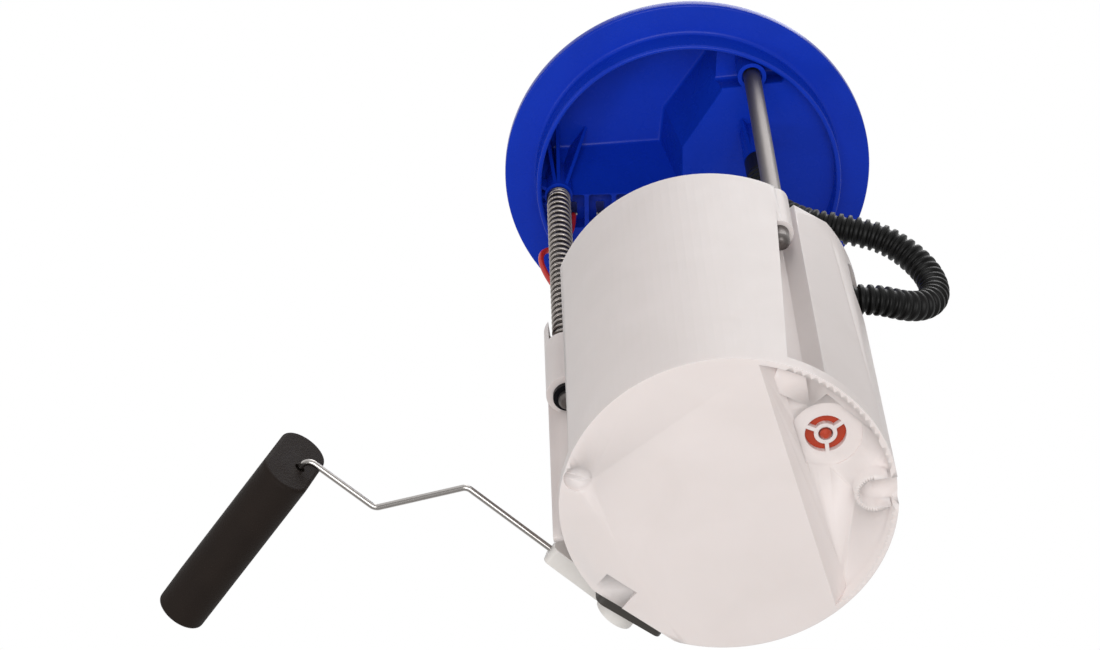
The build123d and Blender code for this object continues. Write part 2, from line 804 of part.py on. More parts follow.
valve_seat = recess_floor + floor_thickness
with BuildPart() as umbrella_valve:
    with BuildSketch(Plane((valve_x, valve_y, 0), x_dir=(1, 0, 0), z_dir=(0, -1, 0))):
        with BuildLine():
            Polyline(
                (0, valve_seat + 2.2),
                (2.0, valve_seat + 2.0),
                (grate_radius + 1.4, valve_seat + 0.6),
                (grate_radius + 1.4, valve_seat),
                (grate_hole_radius - 0.5, valve_seat),
                (grate_hole_radius - 0.5, recess_floor + 0.4),
                (0.8, recess_floor - 0.6),
                (0, recess_floor - 0.6),
                close=True,
            )
        make_face()
    revolve(axis=Axis((valve_x, valve_y, 0), (0, 0, 1)))

with BuildPart() as jet_nozzle:
    with BuildSketch(Plane.XZ.offset(-jet_start)):
        with Locations((jet_x, jet_height)):
            Circle(3.6)
    extrude(amount=-jet_length)
    with BuildSketch(Plane.XY.offset(valve_seat)):
        with Locations((jet_x, jet_start + jet_length / 2)):
            Rectangle(5, jet_length - 6)
    extrude(amount=jet_height - valve_seat)
    with BuildSketch(Plane.XZ.offset(-jet_start)):
        with Locations((jet_x, jet_height)):
            Circle(1.6)
    extrude(amount=-jet_length, mode=Mode.SUBTRACT)

# ---------------------------------------------------------------- outlet elbow
port_angle = degrees(asin(port_y / sqrt(port_x**2 + port_y**2)))
port_plane = Plane(
    origin=(0, 0, hose_port_height),
    x_dir=(-sin(radians(port_angle)), cos(radians(port_angle)), 0),
    z_dir=(cos(radians(port_angle)), sin(radians(port_angle)), 0),
)
elbow_radius = 5.6
barb_radius = hose_bore_radius - soft_gap
with BuildPart() as outlet_elbow:
    with BuildSketch(Plane.XY.offset(can_top + outlet_cover_height)):
        Circle(elbow_radius)
    extrude(amount=elbow_top - can_top - outlet_cover_height)
    with BuildSketch(port_plane):
        Circle(barb_radius)
    extrude(amount=barb_reach)
    with BuildSketch(Plane.XY.offset(can_top + outlet_cover_height)):
        Circle(pump_nipple_radius)
    extrude(amount=nipple_top - can_top - outlet_cover_height, mode=Mode.SUBTRACT)
    with BuildSketch(port_plane):
        Circle(1.8)
    extrude(amount=barb_reach, mode=Mode.SUBTRACT)

# ---------------------------------------------------------------- level sender
with BuildPart() as level_sender_body:
    with BuildSketch(sender_plane(sender_flat)):
        with Locations((pivot_across, pivot_height + 8)):
            RectangleRounded(24, 40, 2.5)
    extrude(amount=sender_depth)
    with BuildSketch(sender_plane(sender_flat + sender_depth - card_thickness)):
        with Locations((card_across, card_height)):
            Rectangle(card_width, card_length)
    extrude(amount=card_thickness, mode=Mode.SUBTRACT)
    # pivot pin with its snap head
    with BuildSketch(sender_plane(sender_flat + sender_depth)):
        with Locations((pivot_across, pivot_height)):
            Circle(pivot_radius)
    extrude(amount=holder_top + 2 * soft_gap - sender_flat - sender_depth)
    with BuildSketch(sender_plane(holder_top + soft_gap)):
        with Locations((pivot_across, pivot_height)):
            Circle(pivot_radius + 0.7)
    extrude(amount=1.2)

with BuildPart() as resistor_card:
    with BuildSketch(sender_plane(sender_flat + sender_depth - card_thickness)):
        with Locations((card_across, card_height)):
            Rectangle(card_width, card_length)
    extrude(amount=card_thickness)

# ---------------------------------------------------------------- arm and float
leg_start = (-11.0, -201.4)
leg_bend = (54.7, -185.6)
leg_far = (72.9, -182.6)
leg_tip = (98.4, -176.9)


def in_sender_frame(across, height, outward):
    """Point given across, up and out of the sender, in the part's frame."""
    return sender_plane(outward).from_local_coords(Vector(across, height, 0))


arm_points = [
    in_sender_frame(*leg_start, arm_plane),
    in_sender_frame(*leg_bend, arm_plane),
    in_sender_frame(*leg_far, arm_plane + arm_offset),
    in_sender_frame(*leg_tip, arm_plane + arm_offset),
    in_sender_frame(*leg_tip, arm_plane + arm_offset + float_gap + wire_in_float),
]

with BuildPart() as float_arm_wire:
    with BuildLine() as arm_path:
        FilletPolyline(*arm_points, radius=arm_bend_radius)
    with BuildSketch(Plane(origin=arm_path.line @ 0, z_dir=arm_path.line % 0)):
        Circle(arm_wire_radius)
    sweep(path=arm_path.line)

arm_angle = degrees(asin((leg_bend[1] - leg_start[1]) / sqrt(
    (leg_bend[0] - leg_start[0]) ** 2 + (leg_bend[1] - leg_start[1]) ** 2)))
with BuildPart() as arm_holder:
    with BuildSketch(sender_plane(holder_bottom)):
        with Locations((pivot_across, pivot_height)):
            Circle(hub_radius)
        with Locations(Location((pivot_across, pivot_height, 0), (0, 0, arm_angle))):
            with Locations((holder_length / 2 - hub_radius, 4.4)):
                RectangleRounded(holder_length, 8.8, 2)
    extrude(amount=holder_top - holder_bottom)
    with BuildSketch(sender_plane(holder_bottom)):
        with Locations((pivot_across, pivot_height)):
            Circle(pivot_radius + running_clearance)
    extrude(amount=holder_top - holder_bottom, mode=Mode.SUBTRACT)
    add(float_arm_wire.part, mode=Mode.SUBTRACT)

with BuildPart() as wiper_contacts:
    with BuildSketch(sender_plane(sender_flat + sender_depth + soft_gap)):
        with Locations(Location((pivot_across, pivot_height, 0), (0, 0, 78))):
            with Locations((hub_radius + 3.5, 2), (hub_radius + 3.5, -2)):
                Rectangle(9, 1.6)
    extrude(amount=holder_bottom - sender_flat - sender_depth - soft_gap)

float_near = arm_plane + arm_offset + float_gap
float_centre = (100.1, -174.4)
with BuildPart() as level_float:
    with BuildSketch(sender_plane(float_near)):
        with Locations(Location((*float_centre, 0), (0, 0, float_lean))):
            SlotOverall(float_height, float_width, rotation=90)
    extrude(amount=float_length)
    fillet(level_float.edges(), radius=1.2)
    with BuildSketch(sender_plane(float_near)):
        with Locations(leg_tip):
            Circle(arm_wire_radius + running_clearance)
    extrude(amount=wire_in_float + 1, mode=Mode.SUBTRACT)
    with BuildSketch(sender_plane(float_near)):
        with Locations(leg_tip):
            Circle(arm_wire_radius + 0.75)
    extrude(amount=2, mode=Mode.SUBTRACT)

# ---------------------------------------------------------------- hose and leads
def terminal_place(cell):
    """Lower end of a terminal blade in the flange, where its lead is crimped."""
    place = terminal_row.from_local_coords(Vector(cell * terminal_pitch, 0, blade_bottom - soft_gap))
    return (place.X, place.Y, place.Z)


def pump_terminal_place(index):
    """Just above a terminal blade on the pump."""
    return (*pump_terminal_places[index], can_top + outlet_cover_height + pump_blade_length + 2 * soft_gap)


hose_route = [
    (nipple_x, nipple_y, hose_start),
    (nipple_x, nipple_y, -34),
    (24.0, -10.4, -53),
    (35.0, -12.8, -68),
    (50.0, -10.5, -73.5),
    (64.0, -4.0, -77.5),
    (75.0, 3.5, -88),
    (76.5, 6.0, -104),
    (68.0, 2.0, -116),
    (54.0, -6.0, -119.5),
    (38.0, -6.6, -119.6),
    (24.0, -4.2, hose_port_height),
    (*polar(elbow_radius + 2 * soft_gap, port_angle), hose_port_height),
]
live_route = [
    terminal_place(0),
    (-42.6, 9.4, -14),
    (-48.0, 10.2, -25),
    (-55.2, 8.0, -30),
    (-53.6, 11.0, -42),
    (-46.0, 17.0, -56),
    (-36.0, 20.0, -72),
    (-28.5, 17.5, -88),
    (-24.5, 13.5, -102),
    (-18.0, 8.0, -113),
    pump_terminal_place(0),
]
return_route = [
    terminal_place(1),
    (-33.0, 10.6, -16),
    (-38.0, 15.5, -32),
    (-37.5, 19.0, -48),
    (-30.0, 21.0, -64),
    (-23.5, 18.0, -82),
    (-21.0, 12.0, -98),
    (-16.0, 3.0, -110),
    pump_terminal_place(1),
]


def bend_radii(points):
    """Largest tangent arc at each corner: 0.45 of the shorter run over the tangent of half the turn."""
    radii = []
    for before, corner, after in zip(points, points[1:], points[2:]):
        first = Vector(*corner) - Vector(*before)
        second = Vector(*after) - Vector(*corner)
        half_turn = radians(first.get_angle(second)) / 2
        radii.append(0.45 * min(first.length, second.length) / tan(half_turn))
    return radii


def cord(name, points, radius, bore=0):
    """Round cord, or hose when it has a bore, along straight runs joined by tangent arcs."""
    radii = bend_radii(points)
    print(name, "bend radii", [round(r, 1) for r in radii])
    with BuildPart() as tube:
        with BuildLine() as route:
            FilletPolyline(*points, radius=radii)
        with BuildSketch(Plane(origin=route.line @ 0, z_dir=route.line % 0)):
            Circle(radius)
            if bore:
                Circle(bore, mode=Mode.SUBTRACT)
        sweep(path=route.line)
    length = sum(edge.length for edge in route.line.edges())
    print(name, "length", round(length, 1), "volume", round(tube.part.volume, 1))
    return tube


fuel_hose = cord("fuel_hose", hose_route, hose_radius, hose_bore_radius)
pump_lead_live = cord("pump_lead_live", live_route, lead_radius)
pump_lead_return = cord("pump_lead_return", return_route, lead_radius)

# ---------------------------------------------------------------- labels and files
pieces = {
    "flange": flange,
    "connector_terminals": connector_terminals,
    "guide_rod_spring_side": guide_rod_spring_side,
    "guide_rod_plain": guide_rod_plain,
    "rod_retaining_ring": rod_retaining_ring,
    "return_spring": return_spring,
    "fuel_hose": fuel_hose,
    "pump_lead_live": pump_lead_live,
    "pump_lead_return": pump_lead_return,
    "reservoir": reservoir,
    "reservoir_cover": reservoir_cover,
    "pump_isolator": pump_isolator,
    "pump_can": pump_can,
    "pump_inlet_cover": pump_inlet_cover,
    "pump_port_plate": pump_port_plate,
    "pump_outlet_cover": pump_outlet_cover,
    "pump_terminals": pump_terminals,
    "pump_brushes": pump_brushes,
    "pump_bearings": pump_bearings,
    "pump_magnets": pump_magnets,
    "intake_strainer": intake_strainer,
    "umbrella_valve": umbrella_valve,
    "jet_nozzle": jet_nozzle,
    "outlet_elbow": outlet_elbow,
    "level_sender_body": level_sender_body,
    "resistor_card": resistor_card,
    "rotor_shaft": rotor_shaft,
    "rotor_armature": rotor_armature,
    "rotor_commutator": rotor_commutator,
    "pump_impeller": pump_impeller,
    "arm_holder": arm_holder,
    "float_arm_wire": float_arm_wire,
    "wiper_contacts": wiper_contacts,
    "level_float": level_float,
}
for name, piece in pieces.items():
    piece.part.label = name
    export_step(piece.part, f"parts/{name}.step")
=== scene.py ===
"""Looks of an in-tank fuel pump module, laid out as an add-on around its packed frame."""

import math

import bmesh
import bpy
from mathutils import Matrix, Vector


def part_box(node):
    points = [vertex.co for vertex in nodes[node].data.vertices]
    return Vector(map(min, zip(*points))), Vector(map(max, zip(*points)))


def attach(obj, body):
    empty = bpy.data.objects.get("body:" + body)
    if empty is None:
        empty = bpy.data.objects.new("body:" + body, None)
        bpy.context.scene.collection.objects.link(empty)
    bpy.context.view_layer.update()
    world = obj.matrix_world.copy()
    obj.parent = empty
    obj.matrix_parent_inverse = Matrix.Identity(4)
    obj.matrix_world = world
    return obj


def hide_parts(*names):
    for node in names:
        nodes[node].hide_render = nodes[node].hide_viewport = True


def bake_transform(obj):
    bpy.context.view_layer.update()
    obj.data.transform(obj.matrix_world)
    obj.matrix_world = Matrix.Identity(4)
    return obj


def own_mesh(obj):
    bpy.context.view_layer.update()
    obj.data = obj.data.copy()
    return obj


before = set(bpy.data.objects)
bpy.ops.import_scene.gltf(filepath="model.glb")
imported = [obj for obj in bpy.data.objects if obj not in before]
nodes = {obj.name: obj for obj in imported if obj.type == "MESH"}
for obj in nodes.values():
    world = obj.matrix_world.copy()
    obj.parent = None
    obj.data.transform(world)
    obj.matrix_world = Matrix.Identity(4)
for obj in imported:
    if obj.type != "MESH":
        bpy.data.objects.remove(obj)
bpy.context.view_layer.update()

bl_info = {
    "name": "Fuel Pump Module",
    "version": (1, 0, 0),
    "blender": (4, 5, 0),
    "location": "View3D > Sidebar > Pump Module",
    "description": "Dresses an in-tank fuel pump module: spring, hose, leads, plastics and metals",
    "category": "Add Mesh",
}

MM = 0.001
TURN = 2 * math.pi


def colour(code):
    """Linear RGBA of an sRGB hex code."""
    channels = [int(code[at : at + 2], 16) / 255 for at in (0, 2, 4)]
    linear = [c / 12.92 if c <= 0.04045 else ((c + 0.055) / 1.055) ** 2.4 for c in channels]
    return (*linear, 1.0)


def colour_property(label, says, code):
    """A colour that a user may change, from an sRGB hex code."""
    return bpy.props.FloatVectorProperty(
        name=label, description=says, subtype="COLOR", size=4, min=0, max=1, default=colour(code)
    )


def length_property(label, says, millimetres):
    """A length that a user may change, given in millimetres and kept in metres."""
    return bpy.props.FloatProperty(
        name=label, description=says, subtype="DISTANCE", unit="LENGTH", precision=5, default=millimetres * MM
    )


# ---------------------------------------------------------------- sizes and colours


class SpringSettings(bpy.types.PropertyGroup):
    """The return spring that pushes the reservoir to the tank's floor."""

    wire: length_property("Wire", "Thickness of the spring wire", 1.15)
    mean: length_property("Coil radius", "Radius of the coil at the middle of the wire", 3.725)
    pitch: length_property("Pitch", "Rise of the active coils each turn", 3.6)
    closed_turns: bpy.props.FloatProperty(
        name="Closed turns", description="Turns that lie on each other at each end", default=2.4, min=0, max=4
    )


class HoseSettings(bpy.types.PropertyGroup):
    """The corrugated hose from the pump to the flange."""

    radius: length_property("Radius", "Radius over the ridges", 5.0)
    groove: length_property("Groove", "Depth of the grooves between ridges", 1.0)
    pitch: length_property("Pitch", "Distance from ridge to ridge", 2.95)
    cuff: length_property("Cuff", "Length of the plain cuff at each end", 11.0)


class LeadSettings(bpy.types.PropertyGroup):
    """The two electrical leads from the flange to the pump."""

    radius: length_property("Radius", "Radius over the insulation", 1.0)
    live: colour_property("Live lead", "Insulation of the live lead", "C8281E")
    back: colour_property("Return lead", "Insulation of the return lead", "1E1E20")


class PlasticSettings(bpy.types.PropertyGroup):
    """Colours of the mouldings."""

    flange: colour_property("Flange", "Blue acetal of the flange", "0F38BE")
    flange_deep: colour_property("Flange flow", "Deeper blue along the flow lines", "0C2FAA")
    bucket: colour_property("Reservoir", "Natural acetal of the reservoir", "E6DDDB")
    bucket_deep: colour_property("Reservoir flow", "Greyer natural acetal", "DCD3D0")
    pump: colour_property("Pump covers", "Glass filled plastic of the pump's covers", "2A2724")
    hose: colour_property("Hose", "Black nylon of the hose", "0B0B0B")
    valve: colour_property("Valve", "Fluorosilicone rubber of the inlet valve", "B63A18")
    foam: colour_property("Float", "Closed cell rubber foam of the float", "1C1613")


class MetalSettings(bpy.types.PropertyGroup):
    """Colours of the metals."""

    # rod colour: partly the steel's own tone, partly painted shade, darkened so the rod seen between the
    # spring's coils looks shaded
    rod: colour_property("Guide rods", "Ground stainless steel", "7E7876")
    spring: colour_property("Spring", "Drawn spring steel", "C4BDB8")
    arm: colour_property("Float arm", "Bright stainless wire", "C4C0BD")
    can: colour_property("Pump can", "Zinc plated steel", "B9B7B2")


class StageSettings(bpy.types.PropertyGroup):
    """Floor, lamps and camera."""

    floor: colour_property("Floor", "Plain pale floor", "F2F1EF")
    floor_drop: length_property("Floor", "How far the floor lies under the flange", 1450)
    ambient: bpy.props.FloatProperty(name="Ambient", description="Level of the room light", default=0.45)
    key_power: bpy.props.FloatProperty(
        name="Key lamp", description="Power of the key lamp and of the top lamp", default=8.0, unit="POWER"
    )
    edge_power: bpy.props.FloatProperty(
        name="Edge lamp", description="Power of the small lamp for the edges", default=1.3, unit="POWER"
    )
    lens: bpy.props.FloatProperty(
        name="Lens", description="Focal length of the camera", default=106.72, subtype="DISTANCE_CAMERA"
    )


# ---------------------------------------------------------------- nodes and materials

# spans over which a moulding's tone and its satin change, and how deep the lines of a metal are
FLOW_MM = 24
SATIN_MM = 6
METAL_LINE_DEPTH_MM = 0.01


def add_node(tree, kind, values=None, links=None, **settings):
    """Adds a node with its settings, the values of its sockets and the sockets that feed it."""
    made = tree.nodes.new(kind)
    for name, value in settings.items():
        setattr(made, name, value)
    for socket, value in (values or {}).items():
        made.inputs[socket].default_value = value
    for socket, source in (links or {}).items():
        tree.links.new(source, made.inputs[socket])
    return made


def stretched(tree, place, scale):
    """Coordinates multiplied along each axis."""
    return add_node(tree, "ShaderNodeVectorMath", {1: scale}, {0: place}, operation="MULTIPLY").outputs[0]


def start_material(name, **shader_values):
    """A material with its shader's values set: material, tree, shader and millimetre coordinates."""
    material = bpy.data.materials.new(name)
    material.use_nodes = True
    tree = material.node_tree
    shader = tree.nodes["Principled BSDF"]
    for socket, value in shader_values.items():
        shader.inputs[socket.replace("_", " ")].default_value = value
    place = add_node(tree, "ShaderNodeTexCoord")
    return material, tree, shader, stretched(tree, place.outputs["Object"], (1 / MM,) * 3)


def noise(tree, place, scale, detail, **more):
    """Noise texture of a scale per millimetre; more are its other sockets."""
    values = {"Scale": scale, "Detail": detail, **more}
    return add_node(tree, "ShaderNodeTexNoise", values, {"Vector": place}).outputs[0]


def tone(tree, shader, factor, light, deep):
    """Base colour between two tones, by a texture."""
    # a colour mix has its factor at socket 0, its colours at 6 and 7 and its result at 2
    mixed = add_node(tree, "ShaderNodeMix", {6: tuple(light), 7: tuple(deep)}, {0: factor}, data_type="RGBA")
    tree.links.new(mixed.outputs[2], shader.inputs["Base Color"])


def gloss(tree, shader, factor, smooth, rough):
    """Roughness between two values, by a texture."""
    spread = add_node(tree, "ShaderNodeMapRange", {"To Min": smooth, "To Max": rough}, {"Value": factor})
    tree.links.new(spread.outputs[0], shader.inputs["Roughness"])


def relief(tree, shader, height, depth_mm, strength=1.0):
    """Surface relief of a real depth, by a texture."""
    values = {"Strength": strength, "Distance": depth_mm * MM}
    bump = add_node(tree, "ShaderNodeBump", values, {"Height": height})
    tree.links.new(bump.outputs[0], shader.inputs["Normal"])


def moulded_plastic(name, light, deep, smooth, rough, grain_mm, depth_mm, **shader_values):
    """Injection moulding: slow flow tones, an uneven satin and the tool's fine grain of a width and depth."""
    material, tree, shader, place = start_material(name, **shader_values)
    flow = noise(tree, place, 1 / FLOW_MM, 3.0, Distortion=0.6)
    tone(tree, shader, flow, light, deep)
    gloss(tree, shader, noise(tree, place, 1 / SATIN_MM, 4.0), smooth, rough)
    relief(tree, shader, noise(tree, place, 1 / grain_mm, 2.0), depth_mm, 0.5)
    return material


def plain_metal(name, light, dark, smooth, rough, line_scale):
    """Metal with the fine lines of its making: line_scale says how the lines run."""
    material, tree, shader, place = start_material(name, Metallic=1.0)
    lines = noise(tree, stretched(tree, place, line_scale), 1.0, 3.0, Roughness=0.6)
    tone(tree, shader, lines, light, dark)
    gloss(tree, shader, lines, smooth, rough)
    relief(tree, shader, lines, METAL_LINE_DEPTH_MM, 0.6)
    return material


# Each finish is made once and then shared by the pieces that have it.


def blue_acetal(plastic):
    # moulded acetal: saturated, waxy satin, a little gloss on the ribs' edges
    return moulded_plastic(
        "Moulded blue acetal",
        plastic.flange,
        plastic.flange_deep,
        smooth=0.22,
        rough=0.32,
        grain_mm=0.9,
        depth_mm=0.012,
        Specular_IOR_Level=0.14,
    )


def natural_acetal(plastic):
    # unpigmented acetal: milky, light sinks in a few millimetres
    return moulded_plastic(
        "Moulded natural acetal",
        plastic.bucket,
        plastic.bucket_deep,
        smooth=0.38,
        rough=0.5,
        grain_mm=1.1,
        depth_mm=0.02,
        Specular_IOR_Level=0.3,
        Subsurface_Weight=0.35,
        Subsurface_Radius=(1.0, 0.92, 0.86),
        Subsurface_Scale=0.0025,
    )


def glass_filled_plastic(plastic):
    # glass filled PPS: dark, slightly speckled, half matte
    return moulded_plastic(
        "Glass filled dark plastic",
        plastic.pump,
        colour("3A352F"),
        smooth=0.42,
        rough=0.6,
        grain_mm=0.5,
        depth_mm=0.03,
        IOR=1.6,
    )


def white_cover_plastic():
    # acetal of the cover: the same family as the reservoir, a shade cooler
    return moulded_plastic(
        "Moulded cover acetal",
        colour("E6E2DE"),
        colour("DAD6D2"),
        smooth=0.36,
        rough=0.48,
        grain_mm=1.0,
        depth_mm=0.02,
        IOR=1.48,
        Subsurface_Weight=0.25,
        Subsurface_Radius=(1.0, 0.94, 0.9),
        Subsurface_Scale=0.002,
    )


def black_nylon(plastic):
    # extruded nylon 12: near black, soft gloss along the ridges
    return moulded_plastic(
        "Extruded black nylon",
        plastic.hose,
        colour("101010"),
        smooth=0.36,
        rough=0.5,
        grain_mm=0.6,
        depth_mm=0.015,
        Specular_IOR_Level=0.2,
    )


def lead_insulation(name, base):
    # extruded insulation: glossy and slightly wavy
    light = tuple(min(1.0, c * 1.1) for c in base[:3]) + (1.0,)
    return moulded_plastic(name, light, base, smooth=0.28, rough=0.4, grain_mm=0.7, depth_mm=0.02, IOR=1.5)


def rubber(name, light, deep, rough):
    # moulded rubber or pressed powder: matte, with a faint bloom
    return moulded_plastic(
        name,
        light,
        deep,
        smooth=rough - 0.08,
        rough=rough,
        grain_mm=0.5,
        depth_mm=0.03,
        IOR=1.5,
        Sheen_Weight=0.15,
    )


def float_foam(plastic):
    # closed cell rubber foam: a matte, blotched skin over fine cells
    cell_mm, blotch_mm, cell_depth_mm = 0.8, 9, 0.12
    material, tree, shader, place = start_material("Closed cell rubber foam", Specular_IOR_Level=0.12)
    cells = add_node(tree, "ShaderNodeTexVoronoi", {"Scale": 1 / cell_mm}, {"Vector": place}, feature="F1")
    blotch = noise(tree, place, 1 / blotch_mm, 5.0)
    tone(tree, shader, blotch, plastic.foam, colour("261F1B"))
    gloss(tree, shader, blotch, 0.62, 0.8)
    relief(tree, shader, cells.outputs[0], cell_depth_mm, 0.6)
    return material


def strainer_mesh():
    # woven nylon mesh, its threads drawn wide apart so that they show
    thread_mm, thread_depth_mm = 1.78, 0.15
    # a wave texture of scale 1 has its bands a twentieth of a turn apart
    wave_scale = TURN / 20 / thread_mm
    material, tree, shader, place = start_material("Woven strainer nylon", IOR=1.53)
    warp, weft = [
        add_node(tree, "ShaderNodeTexWave", {"Scale": wave_scale}, {"Vector": place}, bands_direction=way)
        for way in ("X", "Y")
    ]
    threads = {0: warp.outputs[1], 1: weft.outputs[1]}
    crossed = add_node(tree, "ShaderNodeMath", links=threads, operation="MULTIPLY").outputs[0]
    tone(tree, shader, crossed, colour("CFCAC0"), colour("F0ECE4"))
    gloss(tree, shader, crossed, 0.6, 0.45)
    relief(tree, shader, crossed, thread_depth_mm)
    return material


def make_finishes(scene):
    """All finishes by the record's slot names."""
    plastic = scene.pump_plastics
    metal = scene.pump_metals
    lead = scene.pump_leads
    return {
        "flange_plastic": blue_acetal(plastic),
        "reservoir_plastic": natural_acetal(plastic),
        "cover_plastic": white_cover_plastic(),
        # ground and polished bar: fine lines round the rod; its tone is partly the steel's own and partly
        # painted shade, kept dark so the rod between the spring's coils reads shaded
        "rod_steel": plain_metal("Ground stainless bar", metal.rod, colour("5C5856"), 0.38, 0.5, (1, 1, 9)),
        # drawn wire: fine lines along it, darker where the die marked it
        "spring_steel": plain_metal(
            "Drawn spring steel", metal.spring, colour("6E6763"), 0.22, 0.4, (2, 2, 2)
        ),
        # black oxide on a stamped ring
        "ring_black": plain_metal(
            "Black oxide steel", colour("26262A"), colour("161618"), 0.4, 0.55, (3, 3, 3)
        ),
        # dull tin over brass blades
        "terminal_tin": plain_metal("Tinned brass", colour("CFCCC4"), colour("B0ABA0"), 0.28, 0.4, (1, 6, 1)),
        "hose_nylon": black_nylon(plastic),
        "live_insulation": lead_insulation("Red lead insulation", tuple(lead.live)),
        "return_insulation": lead_insulation("Black lead insulation", tuple(lead.back)),
        "isolator_rubber": rubber("Moulded nitrile rubber", colour("1F1E1E"), colour("2A2928"), 0.72),
        # bright zinc over drawn steel: soft spangle, fine draw lines along the can
        "can_steel": plain_metal(
            "Zinc plated drawn steel", metal.can, colour("97948E"), 0.26, 0.4, (2, 2, 0.2)
        ),
        "pump_plastic": glass_filled_plastic(plastic),
        # pressed carbon: dark grey and faintly metallic
        "brush_carbon": rubber("Pressed carbon", colour("2C2C2E"), colour("3A3A3C"), 0.6),
        # sintered bronze: open pores
        "bearing_bronze": plain_metal(
            "Sintered bronze", colour("A9794A"), colour("7C5630"), 0.4, 0.55, (3, 3, 3)
        ),
        "magnet_ferrite": rubber("Pressed ferrite", colour("38373A"), colour("2C2B2E"), 0.55),
        # stacked laminations: lines round the core
        "armature_steel": plain_metal(
            "Stacked core steel", colour("7F7A76"), colour("5A5550"), 0.35, 0.5, (0.4, 0.4, 4)
        ),
        "commutator_copper": plain_metal(
            "Turned copper", colour("C07A52"), colour("9C5B38"), 0.25, 0.4, (1, 1, 8)
        ),
        "strainer_mesh": strainer_mesh(),
        "valve_rubber": rubber("Moulded fluorosilicone", plastic.valve, colour("A83414"), 0.5),
        # fired alumina: white and faintly grainy
        "card_ceramic": moulded_plastic(
            "Fired alumina", colour("E8E4DC"), colour("DDD8CE"), 0.4, 0.5, 0.3, 0.01, IOR=1.6
        ),
        "arm_steel": plain_metal("Bright stainless wire", metal.arm, colour("9A9693"), 0.14, 0.26, (2, 2, 2)),
        "wiper_alloy": plain_metal(
            "Nickel silver strip", colour("C9BE9E"), colour("A89C7C"), 0.25, 0.38, (5, 1, 1)
        ),
        "float_foam": float_foam(plastic),
    }


FINISHES = {}


def finish_for(slot):
    """The finish of a slot, made once."""
    if not FINISHES:
        FINISHES.update(make_finishes(bpy.context.scene))
    return FINISHES[slot]


def dress(node_name, slot):
    """Gives a CAD node its finish, and leaves its mesh as it is."""
    mesh = nodes[node_name].data
    mesh.materials.clear()
    mesh.materials.append(finish_for(slot))


# ---------------------------------------------------------------- shapes


def route_points(name, control_points):
    """Points along a smooth NURBS curve with these control points, in metres."""
    curve = bpy.data.curves.new(name + "_route", "CURVE")
    curve.dimensions = "3D"
    curve.resolution_u = 24
    spline = curve.splines.new("NURBS")
    spline.points.add(len(control_points) - 1)
    for point, place in zip(spline.points, control_points):
        point.co = (*(c * MM for c in place), 1.0)
    spline.order_u = 3
    spline.use_endpoint_u = True
    carrier = bpy.data.objects.new(name + "_route", curve)
    line = bpy.data.meshes.new_from_object(carrier)
    points = [vertex.co.copy() for vertex in line.vertices]
    bpy.data.objects.remove(carrier)
    bpy.data.curves.remove(curve)
    bpy.data.meshes.remove(line)
    return points


def evenly(points, step):
    """Points resampled along a line, about one step apart."""
    lengths = [0.0]
    for before, after in zip(points, points[1:]):
        lengths.append(lengths[-1] + (after - before).length)
    total = lengths[-1]
    count = max(2, round(total / step))
    sampled = []
    at = 0
    for number in range(count + 1):
        wanted = total * number / count
        while at < len(points) - 2 and lengths[at + 1] < wanted:
            at += 1
        share = (wanted - lengths[at]) / max(lengths[at + 1] - lengths[at], 1e-12)
        sampled.append(points[at].lerp(points[at + 1], share))
    return sampled, total


def tube_faces(rings, sides):
    """Faces between rings of as many points each, then the one at the start and the one at the end."""
    last = (rings - 1) * sides
    faces = []
    for low in range(0, last, sides):
        for number in range(sides):
            following = (number + 1) % sides
            faces.append((low + number, low + following, low + sides + following, low + sides + number))
    return faces + [tuple(reversed(range(sides))), tuple(range(last, last + sides))]


def eased(share):
    """A share kept between 0 and 1, with a soft start and a soft end."""
    share = min(1.0, max(0.0, share))
    return share * share * (3 - 2 * share)


def tube_mesh(name, line, radii, sides):
    """Closed tube along a line, with a radius at each of its points."""
    directions = []
    for at in range(len(line)):
        ahead = line[min(at + 1, len(line) - 1)] - line[max(at - 1, 0)]
        directions.append(ahead.normalized())
    side = directions[0].orthogonal().normalized()
    vertices = []
    for place, direction, radius in zip(line, directions, radii):
        side = (side - direction * side.dot(direction)).normalized()
        other = direction.cross(side)
        for number in range(sides):
            angle = TURN * number / sides
            vertices.append(place + (side * math.cos(angle) + other * math.sin(angle)) * radius)
    mesh = bpy.data.meshes.new(name)
    mesh.from_pydata(vertices, [], tube_faces(len(line), sides))
    mesh.shade_smooth()
    return mesh


def place_object(name, mesh, slot):
    """An object for a mesh, with its finish, in the scene."""
    made = bpy.data.objects.new(name, mesh)
    mesh.materials.append(finish_for(slot))
    bpy.context.scene.collection.objects.link(made)
    return made


# ---------------------------------------------------------------- solid forms, in millimetres

# faces that meet at a wider turn than this keep a sharp edge
CREASE_ANGLE = math.radians(28)
# how far a cutting form runs past what it cuts
PAST = 1.0
# amount that keeps the faces of one form from lying in the faces of another
HAIR = 0.01


def arc(centre, radius, start, end, steps):
    """Points along an arc between two angles, with both ends."""
    turns = [start + (end - start) * step / steps for step in range(steps + 1)]
    return [(centre[0] + radius * math.cos(turn), centre[1] + radius * math.sin(turn)) for turn in turns]


def circle(radius, level, centre=(0.0, 0.0), sides=96):
    """Ring of points round a centre."""
    return level_with(arc(centre, radius, 0, TURN, sides)[:-1], level)


def level_with(outline, level):
    """An outline's points at a level."""
    return [(x, y, level) for x, y in outline]


def grown(outline, amount):
    """An anticlockwise outline with its sides moved out by an amount."""
    moved = []
    for at, (x, y) in enumerate(outline):
        before = Vector((x, y)) - Vector(outline[at - 1])
        after = Vector(outline[(at + 1) % len(outline)]) - Vector((x, y))
        first = Vector((before.y, -before.x)).normalized()
        second = Vector((after.y, -after.x)).normalized()
        shift = (first + second) * amount / (1 + first.dot(second))
        moved.append((x + shift.x, y + shift.y))
    return moved


